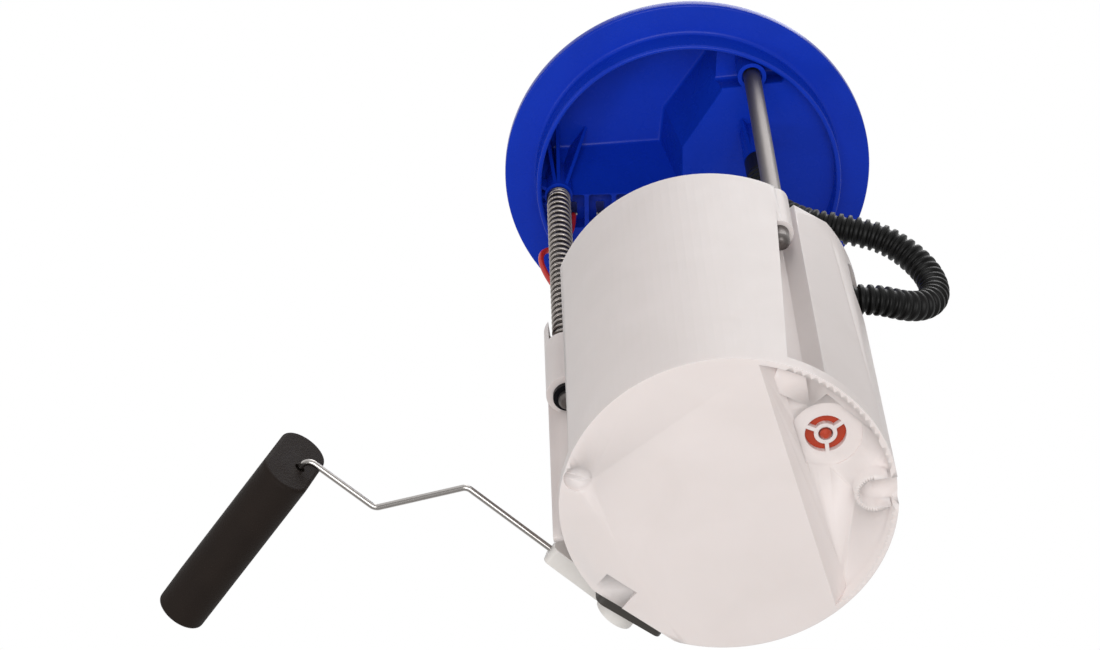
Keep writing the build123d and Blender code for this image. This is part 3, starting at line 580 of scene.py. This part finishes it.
def rounded_rectangle(length, width, radius, centre=(0.0, 0.0), steps=6):
    """Outline of a rectangle with rounded corners."""
    outline = []
    for quarter, (along, across) in enumerate(((1, 1), (-1, 1), (-1, -1), (1, -1))):
        corner = (centre[0] + along * (length / 2 - radius), centre[1] + across * (width / 2 - radius))
        outline += arc(corner, radius, TURN / 4 * quarter, TURN / 4 * (quarter + 1), steps)
    return outline


def lofted(*rings):
    """Closed mesh through rings of as many points each, anticlockwise from above and lowest first."""
    mesh = bpy.data.meshes.new("form")
    mesh.from_pydata([point for ring in rings for point in ring], [], tube_faces(len(rings), len(rings[0])))
    form = bmesh.new()
    form.from_mesh(mesh)
    bmesh.ops.recalc_face_normals(form, faces=form.faces)
    form.to_mesh(mesh)
    form.free()
    return mesh


def prism(outline, low, high):
    """Upright prism over an outline."""
    return lofted(level_with(outline, low), level_with(outline, high))


def disc(radius, low, high, centre=(0.0, 0.0), sides=96):
    """Upright cylinder between two levels."""
    return lofted(circle(radius, low, centre, sides), circle(radius, high, centre, sides))


def lying_cylinder(radius, start, length, centre, sides=48):
    """Cylinder along x from a start, round a centre given as y and level."""
    rings = [circle(radius, x, centre, sides) for x in (start, start + length)]
    return lofted(*[[(x, y, level) for y, level, x in ring] for ring in rings])


def upright_plate(foot, angle, outline, thickness):
    """Upright plate through a foot in plan; its outline runs along an angle in plan and up."""
    along = Vector((math.cos(math.radians(angle)), math.sin(math.radians(angle)), 0))
    across = Vector((-along.y, along.x, 0)) * thickness / 2
    middle = [Vector((*foot, level)) + along * reach for reach, level in outline]
    return lofted(*[[tuple(point + side) for point in middle] for side in (across, -across)])


def combine(base, operation, *forms):
    """A mesh after each form was joined to it, cut from it or kept in common with it."""
    scene = bpy.context.scene
    block = bpy.data.objects.new("block", base)
    tools = [bpy.data.objects.new("form", form) for form in forms]
    for made in (block, *tools):
        scene.collection.objects.link(made)
    for tool in tools:
        step = block.modifiers.new("step", "BOOLEAN")
        step.operation = operation
        step.solver = "EXACT"
        step.object = tool
    bpy.context.view_layer.update()
    mesh = bpy.data.meshes.new_from_object(block.evaluated_get(bpy.context.evaluated_depsgraph_get()))
    for made in (block, *tools):
        bpy.data.objects.remove(made)
    return mesh


def finished_form(name, mesh, slot):
    """An object for a combined mesh: turned to metres, round faces smooth, edges sharp."""
    mesh.transform(Matrix.Scale(MM, 4))
    mesh.materials.clear()
    mesh.shade_smooth()
    mesh.set_sharp_from_angle(angle=CREASE_ANGLE)
    return place_object(name, mesh, slot)


# ---------------------------------------------------------------- flange

PLUG_RADIUS = 54.0
PLUG_WALL = 1.8
PLUG_DEPTH = 10.0
PLUG_INSIDE = PLUG_RADIUS - PLUG_WALL
RIM_RADIUS = 65.0
RIM_TOP = 4.0
# rounds between skirt and rim, between skirt and deck, of the outer edges and of the ceilings
RIM_FILLET = 1.4
DECK_FILLET = 0.6
EDGE_ROUND = 0.8
CEILING_ROUND = 1.6
# rise and spread of each ring round a pocket's mouth, from below the deck to its wall
MOUTH_ROUND = ((-1.0, 0.8), (0.0, 0.8), (0.12, 0.35), (0.4, 0.1), (0.8, 0.0))

DECK_UNDERSIDE = -2.0
DECK_TOP = 1.0
HOOD_AT_DECK = ((-57, -58), (20, -58), (15.5, -31.3), (-0.7, -11.5), (-2.8, 5.5), (-57, 0.0))
HOOD_AT_CEILING = ((-57, -58), (17, -58), (12.1, -36.9), (-5.0, -17.6), (-8.0, -4.5), (-57, -7.3))
HOOD_ROOT = DECK_UNDERSIDE + 1.5
HOOD_CEILING = 20.0
HOOD_WALL = 2.5
ROD_BAY = ((13, -60), (30, -60), (46, -42), (37, -31.6), (13, -32.3))
BAY_ROOT = DECK_UNDERSIDE + 1
BAY_CEILING = 6.0
# the bay's mouth lies a little lower than the hood's, so that no face of one lies in a face of the other
BAY_DROP = 0.1
# levels below and above the whole flange, for forms that are trimmed to a circle
UNDER_ALL = -12
OVER_ALL = 40

# both rods stand on one circle
ROD_CIRCLE = 46.5
SPRING_ROD = (-ROD_CIRCLE, 0.0)
PLAIN_ROD_ANGLE = math.radians(-55)
PLAIN_ROD = (ROD_CIRCLE * math.cos(PLAIN_ROD_ANGLE), ROD_CIRCLE * math.sin(PLAIN_ROD_ANGLE))
ROD_RADIUS = 3.0
ROD_TOP = 5.0
BOSS_RADIUS = 5.0
SPRING_TOP = -4.5
PLAIN_BOSS_BOTTOM = -8.5
# the plain rod's socket flares at its mouth: how far out, and to what depth either way of the boss's end
FLARE = 0.6
FLARE_DEPTH = 2.0

RIB = 1.2
RIB_START = 3.5
RIB_BOTTOM = SPRING_TOP + 0.8
# how far bosses and ribs run into the ceiling
ROOT = 0.5
# angle in plan and reach at the ceiling of each gusset, then angle and reach of each low web
GUSSETS = ((-97, 17.0), (-82, 17.0), (-48, 19.0))
GUSSET_FOOT = 4.6
WEBS = ((150, 7.4), (180, 6.0), (215, 7.8))
WEB_TOP = 3.0

# terminal row: place of its first blade, turn in plan, then length, width and corner of each outline
TERMINAL_PLACE = (-42.3, 8.2)
TERMINAL_TURN = math.radians(7.0)
TERMINAL_PITCH = 9.7
TERMINALS = 4
HOUSING = (44.1, 19.0, 3.0)
HOUSING_TOP = 24.0
SOCKET = (40.5, 15.4, 1.4)
SOCKET_FLOOR = 9.0
CELL = (TERMINAL_PITCH - 1.6, 13.0, 0.8)
CELL_CEILING = 5.0

OUTLET = (22.3, -9.5)
OUTLET_LEVEL = 12.0
OUTLET_RADIUS = 4.0
OUTLET_REACH = 34.0
OUTLET_BORE = 2.5
OUTLET_WALL = 2.0
# bead that holds the fuel line's connector: how proud, how wide and how far from the tube's end it starts
BEAD = 1.1
BEAD_WIDTH = 2.0
BEAD_FROM_END = 10.0

# nipple that the hose is pushed on: the hose ends at its level, and a collar stops a gap above it
NIPPLE = (24.8, -12.7)
NIPPLE_END = -25.0
NIPPLE_RADIUS = 3.6
NIPPLE_IN_HOSE = 6.0
NIPPLE_COLLAR = 1.2
NIPPLE_GAP = 1.0
NIPPLE_ROOT = DECK_UNDERSIDE + 0.6
NIPPLE_RIB_ANGLE = -118
NIPPLE_RIB_LOW = NIPPLE_END + 4
NIPPLE_RIB = (
    (0, NIPPLE_RIB_LOW),
    (4.6, NIPPLE_RIB_LOW),
    (7.6, DECK_UNDERSIDE),
    (7.6, NIPPLE_ROOT),
    (0, NIPPLE_ROOT),
)

ROUND_SIDES = 192
BOSS_SIDES = 48


def hollow_rings(at_mouth, at_ceiling, mouth, ceiling):
    """Rings of a pocket with a rounded mouth and a rounded ceiling."""
    rings = [level_with(grown(at_mouth, out), mouth + up) for up, out in MOUTH_ROUND]
    for inward, level in arc((-CEILING_ROUND, ceiling - CEILING_ROUND), CEILING_ROUND, 0, TURN / 4, 4):
        rings.append(level_with(grown(at_ceiling, inward), level))
    return rings


def in_terminal_row(outline):
    """An outline turned and moved from the terminal row to the flange."""
    cosine, sine = math.cos(TERMINAL_TURN), math.sin(TERMINAL_TURN)
    start_x, start_y = TERMINAL_PLACE
    return [(start_x + x * cosine - y * sine, start_y + x * sine + y * cosine) for x, y in outline]


def middle_of_terminals():
    """Middle of the terminal row, along it and across it."""
    return ((TERMINALS - 1) * TERMINAL_PITCH / 2, 0.0)


def flange_profile():
    """Radius and level from the deck's underside down the skirt, round its lip and out to the rim."""
    quarter = TURN / 4
    lip = PLUG_WALL / 2
    part_way = 0.3 * DECK_FILLET
    profile = [
        (PLUG_INSIDE - DECK_FILLET, DECK_UNDERSIDE),
        (PLUG_INSIDE - part_way, DECK_UNDERSIDE - part_way),
        (PLUG_INSIDE, DECK_UNDERSIDE - DECK_FILLET),
    ]
    profile += arc((PLUG_INSIDE + lip, lip - PLUG_DEPTH), lip, 2 * quarter, 4 * quarter, 8)
    profile += arc((PLUG_RADIUS + RIM_FILLET, -RIM_FILLET), RIM_FILLET, 2 * quarter, quarter, 4)
    edge = RIM_RADIUS - EDGE_ROUND
    profile += arc((edge, EDGE_ROUND), EDGE_ROUND, -quarter, 0, 4)
    profile += arc((edge, RIM_TOP - EDGE_ROUND), EDGE_ROUND, 0, quarter, 4)
    return profile + [(PLUG_INSIDE, RIM_TOP), (PLUG_INSIDE, DECK_TOP)]


def trimmed(radius, first, second):
    """Two forms joined and kept inside an upright cylinder."""
    cylinder = disc(radius, UNDER_ALL, OVER_ALL, sides=ROUND_SIDES)
    return combine(combine(first, "UNION", second), "INTERSECT", cylinder)


def flange_solid():
    """Rim, skirt and deck with the blocks of the hood, the rod bay, the terminals and the outlet on top."""
    body = lofted(*[circle(radius, level, sides=ROUND_SIDES) for radius, level in flange_profile()])
    hood = lofted(
        level_with(grown(HOOD_AT_DECK, HOOD_WALL), HOOD_ROOT),
        level_with(grown(HOOD_AT_CEILING, HOOD_WALL), HOOD_CEILING + HOOD_WALL),
    )
    bay = prism(grown(ROD_BAY, HOOD_WALL), BAY_ROOT, BAY_CEILING + HOOD_WALL)
    housing = in_terminal_row(rounded_rectangle(*HOUSING, middle_of_terminals()))
    post_radius = OUTLET_RADIUS + OUTLET_WALL
    post = disc(post_radius, DECK_UNDERSIDE + ROOT, OUTLET_LEVEL + post_radius, OUTLET, BOSS_SIDES)
    centre = (OUTLET[1], OUTLET_LEVEL)
    tube = lying_cylinder(OUTLET_RADIUS, OUTLET[0], OUTLET_REACH, centre)
    bead = lying_cylinder(OUTLET_RADIUS + BEAD, OUTLET[0] + OUTLET_REACH - BEAD_FROM_END, BEAD_WIDTH, centre)
    return combine(
        body,
        "UNION",
        trimmed(PLUG_RADIUS, hood, bay),
        prism(housing, DECK_UNDERSIDE, HOUSING_TOP),
        post,
        tube,
        bead,
    )


def flange_pockets():
    """The room under hood and bay, the connector's socket and the terminals' cells."""
    hood = lofted(*hollow_rings(HOOD_AT_DECK, HOOD_AT_CEILING, DECK_UNDERSIDE, HOOD_CEILING))
    bay = lofted(*hollow_rings(ROD_BAY, ROD_BAY, DECK_UNDERSIDE - BAY_DROP, BAY_CEILING))
    socket = rounded_rectangle(*SOCKET, middle_of_terminals())
    cells = [rounded_rectangle(*CELL, (number * TERMINAL_PITCH, 0.0), steps=3) for number in range(TERMINALS)]
    return [
        trimmed(PLUG_INSIDE, hood, bay),
        prism(in_terminal_row(socket), SOCKET_FLOOR, HOUSING_TOP + PAST),
        *[prism(in_terminal_row(cell), DECK_UNDERSIDE - PAST, CELL_CEILING) for cell in cells],
    ]


def spring_rod_boss():
    """Boss of the spring's rod, with its gussets and low webs."""
    top = HOOD_CEILING + ROOT
    foot = (RIB_START, RIB_BOTTOM)
    ribs = []
    for angle, reach in GUSSETS:
        outline = (foot, (GUSSET_FOOT, RIB_BOTTOM), (reach, top), (RIB_START, top))
        ribs.append(upright_plate(SPRING_ROD, angle, outline, RIB))
    for angle, reach in WEBS:
        outline = (foot, (reach, RIB_BOTTOM), (reach, WEB_TOP), (RIB_START, WEB_TOP))
        ribs.append(upright_plate(SPRING_ROD, angle, outline, RIB))
    return combine(disc(BOSS_RADIUS, SPRING_TOP, top, SPRING_ROD, BOSS_SIDES), "UNION", *ribs)


def hose_nipple():
    """Nipple that points down from the deck, with its collar and rib."""
    return combine(
        disc(NIPPLE_RADIUS + NIPPLE_COLLAR, NIPPLE_END + NIPPLE_GAP, NIPPLE_ROOT, NIPPLE, BOSS_SIDES),
        "UNION",
        disc(NIPPLE_RADIUS, NIPPLE_END - NIPPLE_IN_HOSE, NIPPLE_ROOT, NIPPLE, BOSS_SIDES),
        upright_plate(NIPPLE, NIPPLE_RIB_ANGLE, NIPPLE_RIB, RIB),
    )


class PUMP_OT_flange(bpy.types.Operator):
    """Moulds the flange: rim, skirt, deep hood, rod bay, rod sockets with ribs, terminals and outlet"""

    bl_idname = "pump.flange"
    bl_label = "Mould Flange"

    def execute(self, context):
        body = combine(flange_solid(), "DIFFERENCE", *flange_pockets())
        plain_boss = disc(BOSS_RADIUS, PLAIN_BOSS_BOTTOM, BAY_CEILING + 2 * ROOT, PLAIN_ROD, BOSS_SIDES)
        body = combine(body, "UNION", spring_rod_boss(), plain_boss, hose_nipple())
        flare_levels = (PLAIN_BOSS_BOTTOM - FLARE_DEPTH, PLAIN_BOSS_BOTTOM + FLARE_DEPTH)
        bore_start = OUTLET[0] + OUTLET_RADIUS + OUTLET_WALL
        body = combine(
            body,
            "DIFFERENCE",
            disc(ROD_RADIUS, SPRING_TOP - PAST, ROD_TOP, SPRING_ROD, BOSS_SIDES),
            disc(ROD_RADIUS, PLAIN_BOSS_BOTTOM - PAST, ROD_TOP, PLAIN_ROD, BOSS_SIDES),
            disc(ROD_RADIUS + FLARE, *flare_levels, PLAIN_ROD, BOSS_SIDES),
            lying_cylinder(OUTLET_BORE, bore_start, OUTLET_REACH, (OUTLET[1], OUTLET_LEVEL)),
        )
        flange = finished_form("flange_moulding", body, "flange_plastic")
        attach(flange, "flange")
        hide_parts("flange")
        return {"FINISHED"}


# ---------------------------------------------------------------- reservoir

BOTTOM = -224.0
RECESS_FLOOR = -219.0
FLOOR = 2.6
# a radius inside the bucket's wall, to trim what joins it
IN_WALL = 49.0
# upper edge of the sloped step in plan, how far the slope runs, and how far it is sunk into wall and floor
STEP_ENDS = ((11.7, -60.0), (29.6, 50.0))
STEP_RUN = 4.6
STEP_SUNK = 0.6
# how far the grate's plug stays under the faces of the floor
INSET = 0.05
# crease of the facet that lifts off the tank's floor, its rise, and the size of the form that cuts it
CREASE_ENDS = ((-37.7, 1.9), (-30.4, 20.2))
CREASE_RISE = math.radians(9.0)
FACET_REACH = 80
FACET_WIDTH = 60
VALVE = (31.0, -17.3)
GRATE_RADIUS = 6.2
GRATE_HUB = 3.45
GRATE_HOLE = 2.2
GRATE_BORDER = 0.5
SPOKE = 1.2
SPOKES = (90, 210, 330)
DISH_RADIUS = 11.0
DISH_DEPTH = 0.8


def grate_opening(start, end, steps=10):
    """Outline of the opening between two spokes, given by their angles."""
    outline = []
    for radius, turned_back in ((GRATE_RADIUS, False), (GRATE_HUB, True)):
        margin = math.asin(SPOKE / 2 / radius)
        side = arc(VALVE, radius, math.radians(start) + margin, math.radians(end) - margin, steps)
        outline += reversed(side) if turned_back else side
    return outline


def millimetre_copy(node_name):
    """A node's mesh in millimetres with its faces joined at their edges."""
    mesh = nodes[node_name].data.copy()
    mesh.transform(Matrix.Scale(1 / MM, 4))
    form = bmesh.new()
    form.from_mesh(mesh)
    bmesh.ops.remove_doubles(form, verts=form.verts, dist=0.001)
    form.to_mesh(mesh)
    form.free()
    return mesh


def sloped_step():
    """Slope from the flat underside up to the recess, from wall to wall of the bucket."""
    low, high = BOTTOM + HAIR, RECESS_FLOOR + STEP_SUNK
    slope = ((-STEP_SUNK, low), (0, low), (STEP_RUN, RECESS_FLOOR), (STEP_RUN, high), (-STEP_SUNK, high))
    step = lofted(*[[(x + across, y, level) for across, level in slope] for x, y in STEP_ENDS])
    inside_wall = disc(IN_WALL, BOTTOM - PAST, RECESS_FLOOR + 2 * PAST, sides=ROUND_SIDES)
    return combine(step, "INTERSECT", inside_wall)


def grate_plug():
    """Disc that fills the floor where the valve's grate is cut."""
    return disc(GRATE_RADIUS + GRATE_BORDER, RECESS_FLOOR + INSET, RECESS_FLOOR + FLOOR - INSET, VALVE, 64)


def lifted_facet():
    """What is cut away under the facet, from its crease outwards."""
    first, second = (Vector(end) for end in CREASE_ENDS)
    along = (second - first).normalized() * FACET_REACH
    away = Vector((-along.y, along.x)).normalized() * FACET_WIDTH
    plan = (first - along, first - along + away, first + along + away, first + along)
    rise = math.tan(CREASE_RISE) * FACET_WIDTH
    return lofted(
        level_with(plan, BOTTOM - 10 * PAST),
        [(*corner, BOTTOM + up) for corner, up in zip(plan, (0, rise, rise, 0))],
    )


class PUMP_OT_reservoir(bpy.types.Operator):
    """Finishes the reservoir's underside: sloped step, raised facet, dish and three-spoke valve grate"""

    bl_idname = "pump.reservoir"
    bl_label = "Finish Reservoir Underside"

    def execute(self, context):
        floor_cut = (RECESS_FLOOR - 2 * PAST, RECESS_FLOOR + FLOOR + PAST)
        openings = [prism(grate_opening(spoke, spoke + 120), *floor_cut) for spoke in SPOKES]
        body = combine(millimetre_copy("reservoir"), "UNION", sloped_step(), grate_plug())
        body = combine(
            body,
            "DIFFERENCE",
            lifted_facet(),
            disc(DISH_RADIUS, RECESS_FLOOR - PAST / 2, RECESS_FLOOR + DISH_DEPTH, VALVE),
            disc(GRATE_HOLE, *floor_cut, VALVE, 32),
            *openings,
        )
        reservoir = finished_form("reservoir_moulding", body, "reservoir_plastic")
        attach(reservoir, "reservoir")
        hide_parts("reservoir")
        return {"FINISHED"}


# ---------------------------------------------------------------- spring, hose and leads

SPRING_STEPS = 36
SPRING_SIDES = 12
# turns over which a closed end opens to the full pitch
OPENING_TURNS = 0.8


class PUMP_OT_spring(bpy.types.Operator):
    """Winds the return spring round its rod, closed at both ends"""

    bl_idname = "pump.spring"
    bl_label = "Wind Return Spring"

    def execute(self, context):
        sizes = context.scene.pump_spring
        low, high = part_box("return_spring")
        centre = (low + high) / 2
        top = SPRING_TOP * MM
        height = top - low.z - sizes.wire
        closed_rise = sizes.closed_turns * sizes.wire
        turns = (height - 2 * closed_rise) / sizes.pitch + 2 * sizes.closed_turns
        rises = []
        for number in range(round(turns * SPRING_STEPS) + 1):
            turn = number / SPRING_STEPS
            from_end = min(turn, turns - turn)
            opened = eased((from_end - sizes.closed_turns + OPENING_TURNS / 2) / OPENING_TURNS)
            rises.append(sizes.wire + (sizes.pitch - sizes.wire) * opened)
        scale = height / (sum(rises[:-1]) / SPRING_STEPS)
        level = top - sizes.wire / 2
        line = []
        for number, rise in enumerate(rises):
            angle = TURN * number / SPRING_STEPS
            aside = Vector((math.cos(angle), math.sin(angle))) * sizes.mean
            line.append(Vector((centre.x + aside.x, centre.y + aside.y, level)))
            level -= rise * scale / SPRING_STEPS
        mesh = tube_mesh("return_spring_wire", line, [sizes.wire / 2] * len(line), SPRING_SIDES)
        spring = place_object("return_spring_wire", mesh, "spring_steel")
        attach(spring, "flange")
        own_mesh(spring)
        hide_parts("return_spring")
        return {"FINISHED"}


HOSE_SIDES = 32
STATIONS_PER_RIDGE = 10
# a ridge starts at this share of the wave between grooves and takes this share to rise
RIDGE_START = 0.22
RIDGE_RISE = 0.5
CUFF_DROP = 0.35 * MM
HOSE_ROUTE = (
    (*NIPPLE, NIPPLE_END),
    (*NIPPLE, -43),
    (26.5, -12.4, -58),
    (36.0, -10.8, -70),
    (50.0, -8.6, -74.5),
    (64.0, -4.0, -77.5),
    (75.0, 3.5, -88),
    (76.5, 6.0, -104),
    (68.0, 2.0, -116),
    (54.0, -6.0, -119.5),
    (38.0, -6.6, -119.6),
    (24.0, -4.2, -119),
    (6.12, -0.98, -119),
)


class PUMP_OT_hose(bpy.types.Operator):
    """Lays the corrugated hose from the flange through the reservoir's window to the pump"""

    bl_idname = "pump.hose"
    bl_label = "Lay Fuel Hose"

    def execute(self, context):
        sizes = context.scene.pump_hose
        smooth = route_points("fuel_hose", HOSE_ROUTE)
        line, total = evenly(smooth, sizes.pitch / STATIONS_PER_RIDGE)
        radii = []
        for number in range(len(line)):
            along = total * number / (len(line) - 1)
            to_end = min(along, total - along)
            wave = 0.5 - 0.5 * math.cos(TURN * along / sizes.pitch)
            ridge = eased((wave - RIDGE_START) / RIDGE_RISE)
            corrugated = min(1.0, max(0.0, (to_end - sizes.cuff) / sizes.pitch))
            groove = sizes.groove * (1 - ridge) * corrugated
            radii.append(sizes.radius - groove - CUFF_DROP * (1 - corrugated))
        mesh = tube_mesh("fuel_hose_corrugated", line, radii, HOSE_SIDES)
        hose = place_object("fuel_hose_corrugated", mesh, "hose_nylon")
        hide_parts("fuel_hose")
        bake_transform(hose)
        return {"FINISHED"}


LEAD_SIDES = 16
LIVE_ROUTE = (
    (-42.3, 8.2, -4.3),
    (-42.6, 9.4, -14),
    (-48.0, 10.2, -25),
    (-55.2, 8.0, -30),
    (-53.6, 11.0, -42),
    (-46.0, 17.0, -56),
    (-36.0, 20.0, -72),
    (-28.5, 17.5, -88),
    (-24.5, 13.5, -102),
    (-18.0, 8.0, -113),
    (-12.0, 4.8, -121.4),
)
RETURN_ROUTE = (
    (-32.67, 9.38, -4.3),
    (-33.0, 10.6, -16),
    (-38.0, 15.5, -32),
    (-37.5, 19.0, -48),
    (-30.0, 21.0, -64),
    (-23.5, 18.0, -82),
    (-21.0, 12.0, -98),
    (-16.0, 3.0, -110),
    (-12.0, -4.8, -121.4),
)


class PUMP_OT_leads(bpy.types.Operator):
    """Runs the live and the return lead from the flange's blades to the pump's"""

    bl_idname = "pump.leads"
    bl_label = "Run Pump Leads"

    def execute(self, context):
        sizes = context.scene.pump_leads
        for node_name, route, finish in (
            ("pump_lead_live", LIVE_ROUTE, "live_insulation"),
            ("pump_lead_return", RETURN_ROUTE, "return_insulation"),
        ):
            smooth = route_points(node_name, route)
            line, total = evenly(smooth, sizes.radius)
            mesh = tube_mesh(node_name + "_insulated", line, [sizes.radius] * len(line), LEAD_SIDES)
            lead = place_object(node_name + "_insulated", mesh, finish)
            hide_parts(node_name)
            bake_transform(lead)
        return {"FINISHED"}


# ---------------------------------------------------------------- pieces that keep the frame's shape

NODE_FINISHES = {
    "connector_terminals": "terminal_tin",
    "guide_rod_spring_side": "rod_steel",
    "guide_rod_plain": "rod_steel",
    "rod_retaining_ring": "ring_black",
    "reservoir_cover": "cover_plastic",
    "outlet_elbow": "pump_plastic",
    "jet_nozzle": "cover_plastic",
    "umbrella_valve": "valve_rubber",
    "intake_strainer": "strainer_mesh",
    "level_sender_body": "pump_plastic",
    "resistor_card": "card_ceramic",
    "arm_holder": "cover_plastic",
    "float_arm_wire": "arm_steel",
    "wiper_contacts": "wiper_alloy",
    "level_float": "float_foam",
    "pump_isolator": "isolator_rubber",
    "pump_can": "can_steel",
    "pump_inlet_cover": "pump_plastic",
    "pump_port_plate": "pump_plastic",
    "pump_outlet_cover": "pump_plastic",
    "pump_terminals": "terminal_tin",
    "pump_brushes": "brush_carbon",
    "pump_bearings": "bearing_bronze",
    "pump_magnets": "magnet_ferrite",
    "pump_impeller": "pump_plastic",
    "rotor_shaft": "rod_steel",
    "rotor_armature": "armature_steel",
    "rotor_commutator": "commutator_copper",
}


class PUMP_OT_finishes(bpy.types.Operator):
    """Gives every node of the frame that stays in view its own finish"""

    bl_idname = "pump.finishes"
    bl_label = "Finish Frame Parts"

    def execute(self, context):
        for node_name, slot in NODE_FINISHES.items():
            dress(node_name, slot)
        return {"FINISHED"}


# ---------------------------------------------------------------- stage, in metres

FLOOR_REACH = 6.0
FLOOR_GRAIN_MM = 40
LAMP_TARGET = (0.0, 0.0, -0.12)
# place and width of each lamp, and the setting that holds its power
LAMPS = {
    "key_lamp": ((0.02, -0.58, -1.15), 0.8, "key_power"),
    "edge_lamp": ((-0.75, -0.2, -0.95), 0.16, "edge_power"),
    "top_lamp": ((0.3, -0.4, 1.1), 0.9, "key_power"),
}
SENSOR_WIDTH_MM = 36.0
CLIP_START = 0.05
CLIP_END = 20.0
CAMERA_PLACE = (0.00310, -0.51791, -1.04410)
CAMERA_RIGHT = (0.99034, 0.13744, -0.01827)
CAMERA_UP = (0.12916, -0.86655, 0.48210)


def area_lamp(name, place, size, power):
    """Soft square lamp that faces the module."""
    light = bpy.data.lights.new(name, "AREA")
    light.size = size
    light.energy = power
    lamp = bpy.data.objects.new(name, light)
    lamp.location = place
    lamp.rotation_euler = (Vector(LAMP_TARGET) - Vector(place)).to_track_quat("-Z", "Y").to_euler()
    bpy.context.scene.collection.objects.link(lamp)


def lay_floor(sizes):
    """Plain pale floor well under the module."""
    mesh = bpy.data.meshes.new("studio_floor")
    corners = ((-1, -1), (1, -1), (1, 1), (-1, 1))
    corners = [(x * FLOOR_REACH, y * FLOOR_REACH, -sizes.floor_drop) for x, y in corners]
    mesh.from_pydata(corners, [], [(0, 1, 2, 3)])
    floor = bpy.data.objects.new("studio_floor", mesh)
    bpy.context.scene.collection.objects.link(floor)
    material, tree, shader, place = start_material("Matte painted floor", Roughness=0.9)
    tone(tree, shader, noise(tree, place, 1 / FLOOR_GRAIN_MM, 3.0), sizes.floor, colour("EFEEEC"))
    mesh.materials.append(material)


def light_room(sizes):
    """Room light: plain white to the camera and in reflections, softer on the surfaces that it lights."""
    world = bpy.data.worlds.new("white_room")
    world.use_nodes = True
    tree = world.node_tree
    path = add_node(tree, "ShaderNodeLightPath")
    seen = path.outputs["Is Camera Ray"]
    for ray in ("Is Glossy Ray", "Is Transmission Ray"):
        either = {0: seen, 1: path.outputs[ray]}
        seen = add_node(tree, "ShaderNodeMath", links=either, operation="MAXIMUM").outputs[0]
    level = add_node(tree, "ShaderNodeMapRange", {"To Min": sizes.ambient, "To Max": 1.0}, {"Value": seen})
    background = tree.nodes["Background"]
    background.inputs["Color"].default_value = (1, 1, 1, 1)
    tree.links.new(level.outputs[0], background.inputs["Strength"])
    bpy.context.scene.world = world


def set_camera(sizes):
    """Camera from below and in front, where the flange's underside and the bucket's bottom show."""
    camera = bpy.data.cameras.new("view_camera")
    camera.lens = sizes.lens
    camera.sensor_width = SENSOR_WIDTH_MM
    camera.clip_start = CLIP_START
    camera.clip_end = CLIP_END
    holder = bpy.data.objects.new("view_camera", camera)
    right = Vector(CAMERA_RIGHT)
    up = Vector(CAMERA_UP)
    turned = Matrix((right, up, right.cross(up))).transposed()
    holder.matrix_world = Matrix.Translation(CAMERA_PLACE) @ turned.to_4x4()
    bpy.context.scene.collection.objects.link(holder)
    bpy.context.scene.camera = holder


class PUMP_OT_stage(bpy.types.Operator):
    """Sets the pale floor, the room light, the lamps and the camera"""

    bl_idname = "pump.stage"
    bl_label = "Set Stage"

    def execute(self, context):
        sizes = context.scene.pump_stage
        lay_floor(sizes)
        light_room(sizes)
        for name, (place, size, power) in LAMPS.items():
            area_lamp(name, place, size, getattr(sizes, power))
        set_camera(sizes)
        context.scene.view_settings.view_transform = "Standard"
        return {"FINISHED"}


class PUMP_PT_panel(bpy.types.Panel):
    """Lists what can be made and changed"""

    bl_idname = "PUMP_PT_panel"
    bl_label = "Pump Module"
    bl_space_type = "VIEW_3D"
    bl_region_type = "UI"
    bl_category = "Pump Module"

    def draw(self, context):
        layout = self.layout
        for operator in OPERATORS:
            layout.operator(operator.bl_idname)
        for name, group in SETTINGS.items():
            box = layout.box()
            box.label(text=group.__doc__)
            for field in group.__annotations__:
                box.prop(getattr(context.scene, name), field)


SETTINGS = {
    "pump_spring": SpringSettings,
    "pump_hose": HoseSettings,
    "pump_leads": LeadSettings,
    "pump_plastics": PlasticSettings,
    "pump_metals": MetalSettings,
    "pump_stage": StageSettings,
}
OPERATORS = (
    PUMP_OT_finishes,
    PUMP_OT_flange,
    PUMP_OT_reservoir,
    PUMP_OT_spring,
    PUMP_OT_hose,
    PUMP_OT_leads,
    PUMP_OT_stage,
)


def register():
    for group in SETTINGS.values():
        bpy.utils.register_class(group)
    for name, group in SETTINGS.items():
        setattr(bpy.types.Scene, name, bpy.props.PointerProperty(type=group))
    for operator in OPERATORS:
        bpy.utils.register_class(operator)
    bpy.utils.register_class(PUMP_PT_panel)


def unregister():
    bpy.utils.unregister_class(PUMP_PT_panel)
    for operator in reversed(OPERATORS):
        bpy.utils.unregister_class(operator)
    for name in SETTINGS:
        delattr(bpy.types.Scene, name)
    for group in SETTINGS.values():
        bpy.utils.unregister_class(group)


def main():
    register()
    bpy.ops.pump.finishes()
    bpy.ops.pump.flange()
    bpy.ops.pump.reservoir()
    bpy.ops.pump.spring()
    bpy.ops.pump.hose()
    bpy.ops.pump.leads()
    bpy.ops.pump.stage()


if __name__ == "__main__":
    main()
